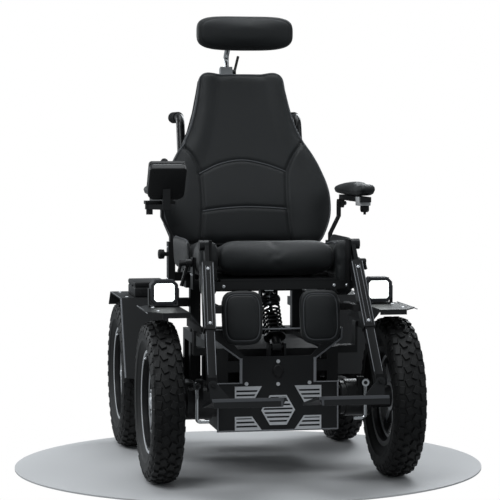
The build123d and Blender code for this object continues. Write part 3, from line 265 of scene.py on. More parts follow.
def powder_finish(name, colour, gloss=0.36, dust=0.25):
    """Satin powder coat: orange-peel skin, sharp edges paler (partly rubbed wear, partly a painted highlight) and a
    little dust.
    """
    sheet = Sheet(name, Specular_IOR_Level=0.30)
    peel = sheet.noise(900.0, 2.0)
    cloud = sheet.noise(7.0, 5.0, 0.65)
    # Paler colour on sharp outer edges: partly rubbed wear, partly a painted highlight along the edges.
    rubbed_and_highlit = tuple(c * 3.0 + 0.020 for c in colour)
    dusty = tuple(c * 1.7 + 0.0008 for c in colour)
    base = sheet.blend(cloud * dust, colour, dusty)
    sheet.set("Base Color", sheet.blend(sheet.edges() * 0.5, base, rubbed_and_highlit))
    sheet.set("Roughness", gloss + cloud * 0.16)
    sheet.bump(peel, 0.12, 0.0004)
    sheet.set("Coat Weight", 0.08)
    sheet.set("Coat Roughness", 0.12)
    return sheet.material


def brushed_finish():
    """Brushed steel: fine lines along X, with soft smudges."""
    sheet = Sheet("silver_steel", Metallic=0.55)
    lines = sheet.noise(260.0, 3.0, 0.6, sheet.stretch((0.04, 1.0, 1.0)))
    smudge = sheet.noise(14.0, 3.0)
    sheet.set("Base Color", sheet.blend(lines, (0.66, 0.67, 0.69), (0.90, 0.905, 0.92)))
    sheet.set("Roughness", 0.24 + lines * 0.14 + smudge * 0.08)
    sheet.bump(lines, 0.10, 0.0003)
    return sheet.material


def chrome_finish():
    """Chrome plate: bright, with faint haze and fine scratches."""
    sheet = Sheet("chrome", Metallic=1.0)
    haze = sheet.noise(30.0, 5.0, 0.7)
    scratch = sheet.noise(420.0, 2.0, 0.5, sheet.stretch((1.0, 0.08, 1.0)))
    sheet.set("Base Color", sheet.blend(haze, (0.76, 0.77, 0.78), (0.86, 0.87, 0.88)))
    sheet.set("Roughness", 0.06 + haze * 0.07 + scratch * 0.04)
    sheet.bump(scratch, 0.04, 0.0002)
    return sheet.material


def alloy_finish():
    """Wheel alloy: machined silver faces over black-painted flanks."""
    sheet = Sheet("rim_alloy")
    normal = sheet.node("ShaderNodeNewGeometry", out=1)
    across = sheet.node("ShaderNodeSeparateXYZ", None, {0: normal})
    facing = sheet.ramp(across.math("ABSOLUTE"), (0.80, 0.0), (0.90, 1.0))
    turned = sheet.noise(330.0, 2.0, 0.6)
    place = sheet.node("ShaderNodeSeparateXYZ", None, {0: sheet.place()}, out=1)
    height = Flow(sheet, place.socket.node.outputs[2])
    along = (place - 0.05).math("ABSOLUTE") - 0.325
    reach = (along * along + (height - AXLE_Z) * (height - AXLE_Z)) ** 0.5
    facing = facing * (reach < 0.1135)
    silver = sheet.blend(turned, (0.60, 0.61, 0.62), (0.80, 0.81, 0.82))
    sheet.set("Base Color", sheet.blend(facing, (0.004, 0.004, 0.0045), silver))
    sheet.set("Metallic", facing * 0.70)
    sheet.set("Roughness", 0.36 + turned * 0.12 - facing * 0.10)
    sheet.bump(turned, 0.08, 0.0003)
    return sheet.material


def tyre_finish():
    """Tyre rubber: matt black, dusty in the grooves, finely pitted."""
    sheet = Sheet("tyre_rubber", Specular_IOR_Level=0.32)
    dust = sheet.noise(22.0, 6.0, 0.7)
    pits = sheet.noise(520.0, 3.0, 0.6)
    sheet.set("Base Color", sheet.blend(dust ** 2.0, (0.0022, 0.0022, 0.0024), (0.014, 0.0136, 0.013)))
    sheet.set("Roughness", 0.44 + dust * 0.28)
    sheet.bump(pits * 0.7 + dust * 0.3, 0.25, 0.0008)
    return sheet.material


def plastic_finish(name, colour, rough=0.46, grain=760.0):
    """Moulded plastic with a spark-eroded texture."""
    sheet = Sheet(name, Specular_IOR_Level=0.45)
    pebble = sheet.cells(grain)
    cloud = sheet.noise(11.0, 4.0, 0.6)
    lighter = tuple(c * 1.8 + 0.0015 for c in colour)
    sheet.set("Base Color", sheet.blend(cloud * 0.35, colour, lighter))
    sheet.set("Roughness", rough + cloud * 0.14)
    sheet.bump(pebble, 0.16, 0.0005)
    return sheet.material


def rubber_finish():
    """Soft rubber: matt, faintly ribbed by its mould."""
    sheet = Sheet("soft_rubber", Specular_IOR_Level=0.3)
    fine = sheet.noise(650.0, 2.0)
    cloud = sheet.noise(16.0, 3.0)
    sheet.set("Base Color", sheet.blend(cloud, (0.0030, 0.0030, 0.0033), (0.010, 0.010, 0.011)))
    sheet.set("Roughness", 0.62 + cloud * 0.2)
    sheet.bump(fine, 0.2, 0.0005)
    return sheet.material


def cast_finish():
    """Cast alloy under clear lacquer, faintly sandy."""
    sheet = Sheet("cast_alloy", Metallic=0.85)
    sand = sheet.noise(380.0, 4.0, 0.7)
    cloud = sheet.noise(12.0, 3.0)
    sheet.set("Base Color", sheet.blend(cloud, (0.26, 0.27, 0.28), (0.42, 0.43, 0.44)))
    sheet.set("Roughness", 0.40 + sand * 0.2)
    sheet.bump(sand, 0.3, 0.0006)
    return sheet.material


def lens_finish():
    """Glowing lamp lens, brightest in the middle of its face, with a fine prism pattern."""
    lamp = bpy.context.scene.wheelchair_lamps
    sheet = Sheet("lamp_lens", Roughness=0.12)
    prism = sheet.cells(150.0, "DISTANCE_TO_EDGE")
    tint = tuple(lamp.tint)
    sheet.set("Base Color", sheet.blend(prism, (0.75, 0.8, 0.8), (0.95, 1.0, 1.0)))
    glow = sheet.ramp(prism, (0.0, 0.75), (0.2, 1.0))
    spot = sheet.node("ShaderNodeSeparateXYZ", None, {0: sheet.place()})
    across = (spot.math("ABSOLUTE") - 0.296).math("ABSOLUTE")
    height = Flow(sheet, spot.socket.node.outputs[2])
    rows = ((height - 0.501) * 900.0).math("SINE").math("ABSOLUTE")
    chips = (across < 0.0085) * ((height - 0.501).math("ABSOLUTE") < 0.0120) * rows
    glow = glow * (1 - chips * 0.75)
    sheet.set("Emission Color", sheet.blend(glow, tuple(c * 0.18 for c in tint), tint))
    sheet.set("Emission Strength", lamp.glow)
    return sheet.material


def screen_finish():
    """A dark gloss display window."""
    sheet = Sheet("display_glass", Roughness=0.08)
    smudge = sheet.noise(40.0, 3.0)
    sheet.set("Base Color", sheet.blend(smudge, (0.008, 0.012, 0.016), (0.016, 0.022, 0.028)))
    sheet.set("Roughness", 0.06 + smudge * 0.08)
    return sheet.material


def floor_finish():
    """Pale matt studio floor."""
    sheet = Sheet("studio_floor")
    cloud = sheet.noise(3.0, 3.0)
    sheet.set("Base Color", sheet.blend(cloud, (0.58, 0.58, 0.585), (0.62, 0.62, 0.625)))
    sheet.set("Roughness", 0.75 + cloud * 0.1)
    return sheet.material


FINISHES = {}


def finish(name):
    """A material by name, made once."""
    makers = {
        "leather_black": leather_finish,
        "piping_grey": thread_finish,
        "frame_black": lambda: powder_finish("frame_black", (0.0014, 0.0014, 0.0016), 0.24),
        "panel_black": lambda: powder_finish("panel_black", (0.0014, 0.0016, 0.0020), 0.40),
        # edge_grey: grey for strips along black edges, a painted highlight where those edges catch the light.
        "edge_grey": lambda: powder_finish("edge_grey", (0.12, 0.123, 0.130), 0.38, 0.1),
        "silver_steel": brushed_finish,
        "chrome": chrome_finish,
        "rim_alloy": alloy_finish,
        "tyre_rubber": tyre_finish,
        "moulded_black": lambda: plastic_finish("moulded_black", (0.0022, 0.0022, 0.0026)),
        "battery_case": lambda: plastic_finish("battery_case", (0.06, 0.062, 0.068), 0.5, 500.0),
        "light_alloy": lambda: powder_finish("light_alloy", (0.020, 0.021, 0.024), 0.42),
        "pad_grey": lambda: plastic_finish("pad_grey", (0.50, 0.50, 0.50), 0.42),
        "soft_rubber": rubber_finish,
        "cast_alloy": cast_finish,
        "lamp_lens": lens_finish,
        "display_glass": screen_finish,
        "studio_floor": floor_finish,
    }
    if name not in FINISHES:
        FINISHES[name] = makers[name]()
    return FINISHES[name]


def paint(piece, name):
    """Gives a piece one finish."""
    piece.data.materials.clear()
    piece.data.materials.append(finish(name))


# ------------------------------------------------------------------ modelling by operators
def clear_selection():
    """Deselects everything, so that an operator acts on new work alone."""
    bpy.ops.object.select_all(action="DESELECT")


def pick(*pieces):
    """Selects only these pieces; the first is active."""
    clear_selection()
    for piece in pieces:
        piece.select_set(True)
    bpy.context.view_layer.objects.active = pieces[0]


def settle(piece, name):
    """Moves a piece's place into its mesh and names it."""
    pick(piece)
    bpy.ops.object.transform_apply(location=True, rotation=True, scale=True)
    piece.name = name
    piece.data.name = name
    return piece


def modify(piece, kind, **settings):
    """Adds a modifier and applies it."""
    pick(piece)
    modifier = piece.modifiers.new(kind.title(), kind)
    for key, value in settings.items():
        setattr(modifier, key, value)
    bpy.ops.object.modifier_apply(modifier=modifier.name)


def rounded(piece, radius, segments=3, angle=35):
    """Rounds a piece's sharp edges and smooths its shading."""
    modify(piece, "BEVEL", width=radius, segments=segments, limit_method="ANGLE",
           angle_limit=math.radians(angle), harden_normals=False)
    pick(piece)
    bpy.ops.object.shade_smooth_by_angle(angle=math.radians(40))
    return piece


def edit_where(piece, kind, wanted):
    """Opens a piece in edit mode with only the faces or edges selected for which wanted(item) is true."""
    pick(piece)
    bpy.ops.object.mode_set(mode="EDIT")
    bpy.ops.mesh.select_mode(type=kind)
    bpy.ops.mesh.select_all(action="DESELECT")
    bpy.ops.object.mode_set(mode="OBJECT")
    for item in piece.data.polygons if kind == "FACE" else piece.data.edges:
        item.select = wanted(item)
    bpy.ops.object.mode_set(mode="EDIT")


def runs_along(piece, edge, axis):
    """Whether an edge of a piece lies along an axis: 0, 1 or 2."""
    first, second = (piece.data.vertices[index].co for index in edge.vertices)
    return abs((first - second).normalized()[axis]) > 0.99


def slab(name, low, high, radius=0.002, place=None, segments=3):
    """A rounded block between two corners, in the chair's frame or in a placed one."""
    clear_selection()
    centre = [(a + b) / 2 for a, b in zip(low, high)]
    bpy.ops.mesh.primitive_cube_add(size=1, location=centre)
    piece = bpy.context.active_object
    piece.scale = [abs(b - a) for a, b in zip(low, high)]
    settle(piece, name)
    if radius:
        rounded(piece, radius, segments)
    if place:
        piece.data.transform(place)
    return piece


def barrel(name, start, end, radius, edge=0.001, sides=40, place=None):
    """A round bar between two points, its ends' edges rounded."""
    clear_selection()
    start = Vector(start)
    run = Vector(end) - start
    bpy.ops.mesh.primitive_cylinder_add(vertices=sides, radius=radius, depth=run.length)
    piece = bpy.context.active_object
    turn = run.to_track_quat("Z", "Y").to_matrix().to_4x4()
    piece.data.transform(Matrix.Translation(start + run / 2) @ turn)
    settle(piece, name)
    if edge:
        rounded(piece, edge, 2)
    if place:
        piece.data.transform(place)
    return piece


def turned(name, outline, centre, axis, sides=64, angle=40):
    """A turned shape: (distance along the axis, radius) points spun about the axis."""
    clear_selection()
    bpy.ops.mesh.primitive_plane_add(size=1)
    piece = bpy.context.active_object
    bpy.ops.object.mode_set(mode="EDIT")
    bpy.ops.mesh.select_mode(type="VERT")
    bpy.ops.mesh.select_all(action="SELECT")
    bpy.ops.mesh.merge(type="CENTER")
    rail = [Vector((radius, 0, along)) for along, radius in outline]
    bpy.ops.transform.translate(value=rail[0])
    for here, there in zip(rail, rail[1:]):
        bpy.ops.mesh.extrude_region_move(TRANSFORM_OT_translate={"value": there - here})
    bpy.ops.mesh.select_all(action="SELECT")
    bpy.ops.mesh.spin(steps=sides, angle=math.tau, center=(0, 0, 0), axis=(0, 0, 1))
    bpy.ops.mesh.select_all(action="SELECT")
    bpy.ops.mesh.remove_doubles(threshold=0.00002)
    bpy.ops.mesh.normals_make_consistent(inside=False)
    bpy.ops.object.mode_set(mode="OBJECT")
    turn = Vector(axis).to_track_quat("Z", "Y").to_matrix().to_4x4()
    piece.data.transform(Matrix.Translation(Vector(centre)) @ turn)
    settle(piece, name)
    bpy.ops.object.shade_smooth_by_angle(angle=math.radians(angle))
    return piece


def copy_of(piece, move, name=None):
    """A copy with its own mesh, moved by a matrix."""
    twin = piece.copy()
    twin.data = piece.data.copy()
    bpy.context.collection.objects.link(twin)
    twin.data.transform(move)
    if name:
        twin.name = name
        twin.data.name = name
    if move.determinant() < 0:
        twin.data.flip_normals()
    return twin


def joined(name, pieces):
    """Several pieces made one mesh."""
    pick(*pieces)
    if len(pieces) > 1:
        bpy.ops.object.join()
    piece = bpy.context.active_object
    piece.name = name
    piece.data.name = name
    return piece


def pipe(name, points, radius, closed=False, order=3, rings=10, smooth=12):
    """A round cord of leather or steel along points, as a mesh."""
    curve = bpy.data.curves.new(name, "CURVE")
    curve.dimensions = "3D"
    spline = curve.splines.new("NURBS")
    spline.points.add(len(points) - 1)
    for spot, point in zip(spline.points, points):
        spot.co = (*point, 1)
    spline.order_u = order
    spline.use_endpoint_u = not closed
    spline.use_cyclic_u = closed
    curve.resolution_u = smooth
    curve.bevel_depth = radius
    curve.bevel_resolution = rings // 4
    curve.use_fill_caps = not closed
    piece = bpy.data.objects.new(name, curve)
    bpy.context.collection.objects.link(piece)
    pick(piece)
    bpy.ops.object.convert(target="MESH")
    piece = bpy.context.active_object
    settle(piece, name)
    bpy.ops.object.shade_smooth()
    return piece


def place_piece(piece, body, material, *nodes):
    """Paints a piece, puts it on a body, and hides the frame nodes that it stands for."""
    paint(piece, material)
    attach(piece, body)
    if nodes:
        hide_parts(*nodes)
    return piece


def back_place():
    """The back's own frame: x across, -y towards the sitter, z up the back."""
    return Matrix.Translation(BACK_HINGE) @ Matrix.Rotation(-RECLINE, 4, "X")


# ------------------------------------------------------------------ upholstery helpers
def curve_at(table, spot):
    """A smooth value from a table of (place, value) pairs."""
    if spot <= table[0][0]:
        return table[0][1]
    if spot >= table[-1][0]:
        return table[-1][1]
    index = max(i for i, (place, _) in enumerate(table) if place <= spot)
    (p1, v1), (p2, v2) = table[index], table[index + 1]
    before = table[index - 1] if index else (p1 - (p2 - p1), v1 - (v2 - v1))
    after = table[index + 2] if index + 2 < len(table) else (p2 + (p2 - p1), v2 + (v2 - v1))
    span = p2 - p1
    rise_in = (v2 - before[1]) / (p2 - before[0]) * span
    rise_out = (after[1] - v1) / (after[0] - p1) * span
    t = (spot - p1) / span
    return ((2 * t ** 3 - 3 * t ** 2 + 1) * v1 + (t ** 3 - 2 * t ** 2 + t) * rise_in
            + (3 * t ** 2 - 2 * t ** 3) * v2 + (t ** 3 - t ** 2) * rise_out)


def pillow(name, corner, edge, shape, flat=2, place=None):
    """A closed rounded form: a ball squared by its exponents, then put through shape(a, b, c) of -1 to 1 each.
    Corner squares the outline across the flat axis; edge squares its thickness."""
    clear_selection()
    bpy.ops.mesh.primitive_cube_add(size=2)
    piece = bpy.context.active_object
    bpy.ops.object.mode_set(mode="EDIT")
    bpy.ops.mesh.select_all(action="SELECT")
    for _ in range(2):
        bpy.ops.mesh.subdivide(number_cuts=6)
    bpy.ops.object.mode_set(mode="OBJECT")
    wide = [axis for axis in range(3) if axis != flat]
    for vertex in piece.data.vertices:
        way = vertex.co.normalized()
        outline = sum(abs(way[axis]) ** corner for axis in wide)
        size = (outline ** (edge / corner) + abs(way[flat]) ** edge) ** (1 / edge)
        spot = way / size
        vertex.co = shape(*spot)
    if place:
        piece.data.transform(place)
    settle(piece, name)
    pick(piece)
    bpy.ops.object.mode_set(mode="EDIT")
    bpy.ops.mesh.select_all(action="SELECT")
    bpy.ops.mesh.normals_make_consistent(inside=False)
    bpy.ops.object.mode_set(mode="OBJECT")
    return piece


def stuff(piece, cap, voxel=0.005, held=None):
    """Remeshes a cushion and swells its cover like filled cloth; points where held() is true stay put."""
    modify(piece, "REMESH", mode="VOXEL", voxel_size=voxel)
    modify(piece, "SMOOTH", factor=0.5, iterations=6)
    start = [vertex.co.copy() for vertex in piece.data.vertices]
    pick(piece)
    cloth = piece.modifiers.new("Cover", "CLOTH")
    cloth.settings.use_pressure = True
    cloth.settings.uniform_pressure_force = 4.0
    cloth.settings.effector_weights.gravity = 0
    cloth.settings.quality = 5
    if held:
        group = piece.vertex_groups.new(name="held")
        group.add([v.index for v in piece.data.vertices if held(v.co)], 1.0, "REPLACE")
        cloth.settings.vertex_group_mass = "held"
    for moment in range(1, 21):
        bpy.context.scene.frame_set(moment)
    bpy.ops.object.modifier_apply(modifier=cloth.name)
    bpy.context.scene.frame_set(1)
    for vertex, first in zip(piece.data.vertices, start):
        shift = vertex.co - first
        if shift.length > cap:
            vertex.co = first + shift * (cap / shift.length)
    piece.vertex_groups.clear()
    modify(piece, "SMOOTH", factor=0.5, iterations=8)
    modify(piece, "SUBSURF", levels=1, render_levels=1)
    pick(piece)
    bpy.ops.object.shade_smooth()
    return piece


def sew(piece, seams, depth, width, facing):
    """Draws a cushion's cover inwards along seams: lists of points close to the cover. Facing tells which cover
    points, by normal, a seam may move."""
    dense = []
    for seam in seams:
        for a, b in zip(seam, seam[1:]):
            a, b = Vector(a), Vector(b)
            count = max(1, int((b - a).length / 0.002))
            dense += [a.lerp(b, i / count) for i in range(count + 1)]
    tree = KDTree(len(dense))
    for index, point in enumerate(dense):
        tree.insert(point, index)
    tree.balance()
    normals = [vertex.normal.copy() for vertex in piece.data.vertices]
    for vertex, normal in zip(piece.data.vertices, normals):
        if not facing(normal):
            continue
        near = tree.find(vertex.co)[2]
        if near < 4 * width:
            vertex.co -= normal * (depth * math.exp(-(near / width) ** 2))
    return piece


def cover_tree(piece):
    """A search tree of a cushion's cover."""
    mesh = piece.data
    return BVHTree.FromPolygons([v.co for v in mesh.vertices], [list(p.vertices) for p in mesh.polygons])


def hug(piece, points, lift=0.0):
    """The nearest places on a cushion's cover, lifted off it a little."""
    tree = cover_tree(piece)
    return [spot + normal * lift for spot, normal in (tree.find_nearest(point)[:2] for point in points)]


def on_cover(piece, points, way, lift=0.0):
    """Drops points onto a cushion's cover along a direction, and lifts them off it again a little."""
    tree = cover_tree(piece)
    way = Vector(way).normalized()
    laid = []
    for point in points:
        start = Vector(point) - way * 0.3
        hit = tree.ray_cast(start, way)[0]
        if hit is None:
            hit = tree.find_nearest(Vector(point))[0]
        laid.append(hit - way * lift)
    return laid


def soft(piece, body, fill, *nodes):
    place_piece(piece, body, "leather_black", *nodes)
    return piece


# ------------------------------------------------------------------ the back
BACK_OUTLINE = ((0.030, 0.212), (0.053, 0.225), (0.106, 0.245), (0.152, 0.250), (0.196, 0.246), (0.242, 0.233),
                (0.294, 0.211), (0.337, 0.187), (0.381, 0.166), (0.439, 0.148), (0.505, 0.133), (0.535, 0.127),
                (0.552, 0.112))
BOLSTER_SEAM = ((0.030, 0.135), (0.045, 0.132), (0.137, 0.124), (0.190, 0.124), (0.249, 0.128), (0.291, 0.147),
                (0.329, 0.176), (0.345, 0.188))


class WHEELCHAIR_OT_back(bpy.types.Operator):
    """Upholsters the back: one stuffed cover with side bolsters, an arched seam and a lower seam"""
    bl_idname = "wheelchair.back"
    bl_label = "Back cushion"

    def execute(self, context):
        settings = context.scene.wheelchair_upholstery
        place = back_place()
        rear, front, low, high = 0.0215, 0.078, 0.0305, 0.5515

        def shape(a, b, c):
            up = low + (c + 1) / 2 * (high - low)
            across = a * curve_at(BACK_OUTLINE, up)
            wing = max(0.0, abs(a) - 0.55) / 0.45
            deep = front - 0.007 + 0.006 * math.exp(-((up - 0.16) / 0.09) ** 2) + 0.007 * math.sin(math.pi * wing)
            forward = rear + (deep - rear) * (1 - b) / 2
            return across, -forward, up

        cushion = pillow("back_cushion_cover", 34, 4.2, shape, flat=1, place=place)
        backwards = place.to_3x3() @ Vector((0, 1, 0))
        flat_back = BACK_HINGE - backwards * (rear + 0.006)
        stuff(cushion, settings.swell * 0.5, 0.005,
              held=lambda spot: (spot - flat_back).dot(backwards) > 0)

        def on_back(points):
            return on_cover(cushion, [place @ Vector((x, -0.07, up)) for x, up in points], backwards)

        sides = []
        for sign in (1, -1):
            sides.append([(sign * curve_at(BOLSTER_SEAM, up / 1000) - 0.008, up / 1000) for up in range(34, 344, 6)])
        arch = ((-0.138, 0.240), (-0.076, 0.269), (-0.010, 0.280), (0.056, 0.268), (0.116, 0.246))
        lower = ((-0.132, 0.129), (-0.076, 0.136), (-0.010, 0.140), (0.056, 0.138), (0.113, 0.134))
        bands = []
        for table in (arch, lower):
            count = 40
            ends = table[0][0], table[-1][0]
            bands.append([(x, curve_at(table, x)) for x in
                          (ends[0] + (ends[1] - ends[0]) * i / count for i in range(count + 1))])
        seams = [on_back(side) for side in sides]
        arcs = [on_back(band) for band in bands]
        forward = -backwards
        sew(cushion, seams, 0.0065, 0.0055, lambda normal: normal.dot(forward) > 0.2)
        sew(cushion, arcs, 0.0035, 0.0065, lambda normal: normal.dot(forward) > 0.2)
        soft(cushion, "back", 0.7, "back_cushion")

        cords = [pipe("arc", [p + forward * 0.0005 for p in on_back(band)], 0.0022) for band in bands]
        edge = []
        for sign in (1, -1):
            run = []
            for up in range(36, 553, 6):
                half = curve_at(BACK_OUTLINE, up / 1000)
                run.append(place @ Vector((sign * (half - 0.002), -0.068, up / 1000)))
            edge.append(run)
        loop = edge[1] + [place @ Vector((x / 1000, -0.069, 0.5515)) for x in range(-100, 101, 10)] + edge[0][::-1]
        loop = hug(cushion, loop, 0.0005)
        cords.append(pipe("edge", loop, settings.piping))
        cords = joined("back_piping", cords)
        place_piece(cords, "back", "piping_grey")
        return {"FINISHED"}


# ------------------------------------------------------------------ the seat
def seat_top(y):
    """Height of the seat's top at a place from front to rear."""
    return curve_at(((-0.281, 0.634), (-0.262, 0.641), (-0.18, 0.634), (0.0, 0.611), (0.095, 0.600)), y)


class WHEELCHAIR_OT_seat(bpy.types.Operator):
    """Upholsters the seat: a rolled middle cushion, a bolster each side with a lobe at its front, and side wings"""
    bl_idname = "wheelchair.seat"
    bl_label = "Seat cushion"

    def execute(self, context):
        settings = context.scene.wheelchair_upholstery
        floor = SEAT_BASE

        def held(spot):
            return spot.z < floor + 0.006

        def middle_shape(a, b, c):
            y = -0.279 + (b + 1) / 2 * 0.372
            top = seat_top(y) - 0.004
            dish = 0.010 * math.exp(-((y + 0.05) / 0.12) ** 2) * (1 - a * a)
            z = floor + (top - floor) * (c + 1) / 2 - dish * max(0.0, c)
            return a * 0.1585, y, z

        middle = pillow("seat_middle_cover", 40, 3.6, middle_shape, flat=2)
        stuff(middle, settings.swell * 0.7, 0.005, held)
        rows = []
        for y in (-0.150, -0.030, 0.070):
            rows.append(on_cover(middle, [(x / 1000, y, 0.7) for x in range(-140, 141, 8)], (0, 0, -1)))
        sew(middle, rows, 0.004, 0.006, lambda normal: normal.z > 0.3)
        soft(middle, "seat", 0.75, "seat_cushion")

        welts = []
        for side, sign in SIDES:
            def bolster_shape(a, b, c, sign=sign):
                y = -0.2795 + (b + 1) / 2 * 0.372
                top = seat_top(y) + 0.008
                z = floor + (top - floor) * (c + 1) / 2
                return sign * 0.1855 + a * 0.0255, y, z

            bolster = pillow(f"seat_bolster_{side}_cover", 9, 2.8, bolster_shape, flat=2)
            lobe = pillow(f"seat_lobe_{side}", 5, 2.6, lambda a, b, c, sign=sign: (
                sign * 0.1855 + a * 0.0250, -0.2600 + b * 0.0195, 0.567 + c * 0.074), flat=1)
            bolster = joined(f"seat_bolster_{side}_cover", [bolster, lobe])
            stuff(bolster, settings.swell * 0.3, 0.004, held)
            soft(bolster, "seat", 0.8)
            line = on_cover(bolster, [(sign * 0.1665, y / 1000, 0.75) for y in range(-262, 90, 8)], (0, 0, -1))
            welts.append(pipe("welt", [p + Vector((0, 0, 0.0008)) for p in line], 0.0024))

            def wing_shape(a, b, c, sign=sign):
                y = -0.185 + (b + 1) / 2 * 0.270
                lean = 0.003 * (c + 1)
                return sign * (0.2215 + lean) + a * 0.0085, y, 0.596 + c * 0.046

            wing = pillow(f"seat_wing_{side}_cover", 6, 2.6, wing_shape, flat=0)
            stuff(wing, settings.swell * 0.15, 0.004)
            soft(wing, "seat", 0.7)
            line = on_cover(wing, [(sign * 0.2275, y / 1000, 0.75) for y in range(-176, 78, 8)], (0, 0, -1))
            welts.append(pipe("welt", [p + Vector((0, 0, 0.0006)) for p in line], 0.0022))
        welts = joined("seat_piping", welts)
        place_piece(welts, "seat", "piping_grey")
        return {"FINISHED"}


# ------------------------------------------------------------------ headrest
class WHEELCHAIR_OT_headrest(bpy.types.Operator):
    """Upholsters the headrest and makes its back plate and two ears"""
    bl_idname = "wheelchair.headrest"
    bl_label = "Headrest"

    def execute(self, context):
        settings = context.scene.wheelchair_upholstery

        def shape(a, b, c):
            across = 0.0035 + a * 0.1425
            cup = 0.012 * a * a
            front = 0.2105 - cup + 0.008 * abs(c) ** 3
            y = front + (0.2675 - front) * (b + 1) / 2
            sag = 0.0035 * (1 - a * a) * (c > 0)
            return across, max(y, 0.2085), 1.2195 + c * (0.0515 - sag)

        pad = pillow("headrest_pad_cover", 3.7, 3.0, shape, flat=1)
        stuff(pad, settings.swell * 0.25, 0.004, held=lambda spot: spot.y > 0.262)
        ring = []
        for step in range(96):
            turn = math.tau * step / 96
            c, s = math.cos(turn), math.sin(turn)
            size = (abs(c) ** 3.7 + abs(s) ** 3.7) ** (-1 / 3.7)
            ring.append((0.0035 + 0.132 * size * c, 0.2, 1.2195 + 0.0425 * size * s))
        ring.append(ring[0])
        line = on_cover(pad, ring, (0, 1, 0))
        sew(pad, [line], 0.0016, 0.0026, lambda normal: normal.y < 0.3)
        soft(pad, "headrest_pad", 0.8, "headrest_pad")
        welt = []
        for x, y, z in ring[:-1]:
            spread = Vector((x - 0.0035, 0, z - 1.2195))
            welt.append(Vector((0.0035, 0.2585, 1.2195)) + Vector((spread.x * 1.066, 0, spread.z * 1.185)))
        cord = pipe("headrest_piping", hug(pad, welt, 0.0005), 0.0022, closed=True)
        place_piece(cord, "headrest_pad", "piping_grey")
        parts = [slab("plate", (-0.060, 0.2683, 1.1895), (0.000, 0.2713, 1.2495), 0.001)]
        for low in (-0.052, -0.016):
            parts.append(slab("ear", (low, 0.2712, 1.2075), (low + 0.008, 0.2930, 1.2315), 0.002))
            for height in (1.196, 1.243):
                parts.append(barrel("screw", (low + 0.004, 0.2712, height), (low + 0.004, 0.2735, height), 0.0035,
                                    0.0005, 16))
        mount = joined("headrest_mount", parts)
        place_piece(mount, "headrest_pad", "frame_black")
        return {"FINISHED"}


# ------------------------------------------------------------------ arm and calf pads
ARM_TOP = ((-0.153, 0.7925), (-0.135, 0.7920), (-0.090, 0.7830), (-0.030, 0.7900), (0.060, 0.7865), (0.193, 0.7780))


class WHEELCHAIR_OT_arm_pads(bpy.types.Operator):
    """Makes the two arm pads, scooped along their tops, each with a seam sewn round its base"""
    bl_idname = "wheelchair.arm_pads"
    bl_label = "Arm pads"

    def execute(self, context):
        settings = context.scene.wheelchair_upholstery
        for side, sign in SIDES:
            def shape(a, b, c, sign=sign):
                y = 0.0200 + b * 0.1730
                narrow = 1 - 0.10 * max(0.0, b) ** 2 - 0.05 * max(0.0, -b) ** 4
                top = curve_at(ARM_TOP, y)
                z = 0.7525 + (top - 0.7525) * (c + 1) / 2
                return sign * (0.2795 + a * 0.0280 * narrow), y, z

            pad = pillow(f"arm_pad_{side}_cover", 6, 3.2, shape, flat=2)
            stuff(pad, settings.swell * 0.15, 0.004, held=lambda spot: spot.z < 0.757)
            line = []
            for step in range(72):
                turn = math.tau * step / 72
                c, s = math.cos(turn), math.sin(turn)
                size = (abs(c) ** 5 + abs(s) ** 5) ** (-1 / 5)
                line.append(Vector((sign * 0.28025 + 0.035 * size * c, 0.0175 + 0.1760 * size * s, 0.7605)))
            sew(pad, [hug(pad, line + line[:1])], 0.0016, 0.0022, lambda normal: abs(normal.z) < 0.8)
            soft(pad, f"armrest_{side}", 0.85, f"arm_pad_{side}")
        return {"FINISHED"}


class WHEELCHAIR_OT_calf_pads(bpy.types.Operator):
    """Upholsters the two calf pads, each with a sewn border"""
    bl_idname = "wheelchair.calf_pads"
    bl_label = "Calf pads"

    def execute(self, context):
        settings = context.scene.wheelchair_upholstery
        for side, sign in SIDES:
            place = (Matrix.Translation((sign * 0.105, -0.345, 0.4425)) @ Matrix.Rotation(math.radians(-8), 4, "X"))

            def shape(a, b, c):
                half = 0.0575 * (1 - 0.05 * (1 - c) / 2)
                belly = 0.004 * (1 - a * a) * (1 - c * c)
                y = 0.0045 - belly + (0.0355 - 0.0045 + belly) * (b + 1) / 2
                return a * half, y, c * 0.073

            pad = pillow(f"calf_pad_{side}_cover", 4.2, 2.8, shape, flat=1, place=place)
            ahead = place.to_3x3() @ Vector((0, -1, 0))
            base = place @ Vector((0, 0.030, 0))
            stuff(pad, settings.swell * 0.25, 0.004, held=lambda spot: (spot - base).dot(ahead) < 0)
            border = []
            for step in range(81):
                turn = math.tau * step / 80
                c, s = math.cos(turn), math.sin(turn)
                size = (abs(c) ** 4.2 + abs(s) ** 4.2) ** (-1 / 4.2)
                border.append(place @ Vector((0.0455 * size * c, -0.05, 0.0610 * size * s)))
            line = on_cover(pad, border, -ahead)
            sew(pad, [line], 0.0030, 0.0032, lambda normal: normal.dot(ahead) > 0.1)
            soft(pad, f"leg_{side}", 0.8, f"calf_pad_{side}")
            cord = pipe(f"calf_piping_{side}", [p + ahead * 0.0002 for p in on_cover(pad, border[:-1], -ahead)], 0.0016,
                        closed=True)
            place_piece(cord, f"leg_{side}", "piping_grey")
        return {"FINISHED"}


# ------------------------------------------------------------------ tyres and wheels
TYRE_SECTION = ((-0.024, 0.128), (-0.029, 0.134), (-0.0325, 0.1395), (-0.0375, 0.150), (-0.0405, 0.160),
                (-0.0418, 0.161), (-0.0422, 0.164), (-0.0414, 0.166), (-0.0425, 0.175), (-0.0425, 0.186),
                (-0.0405, 0.196), (-0.0355, 0.2035), (-0.0250, 0.2082), (-0.0120, 0.2098), (0, 0.2102))


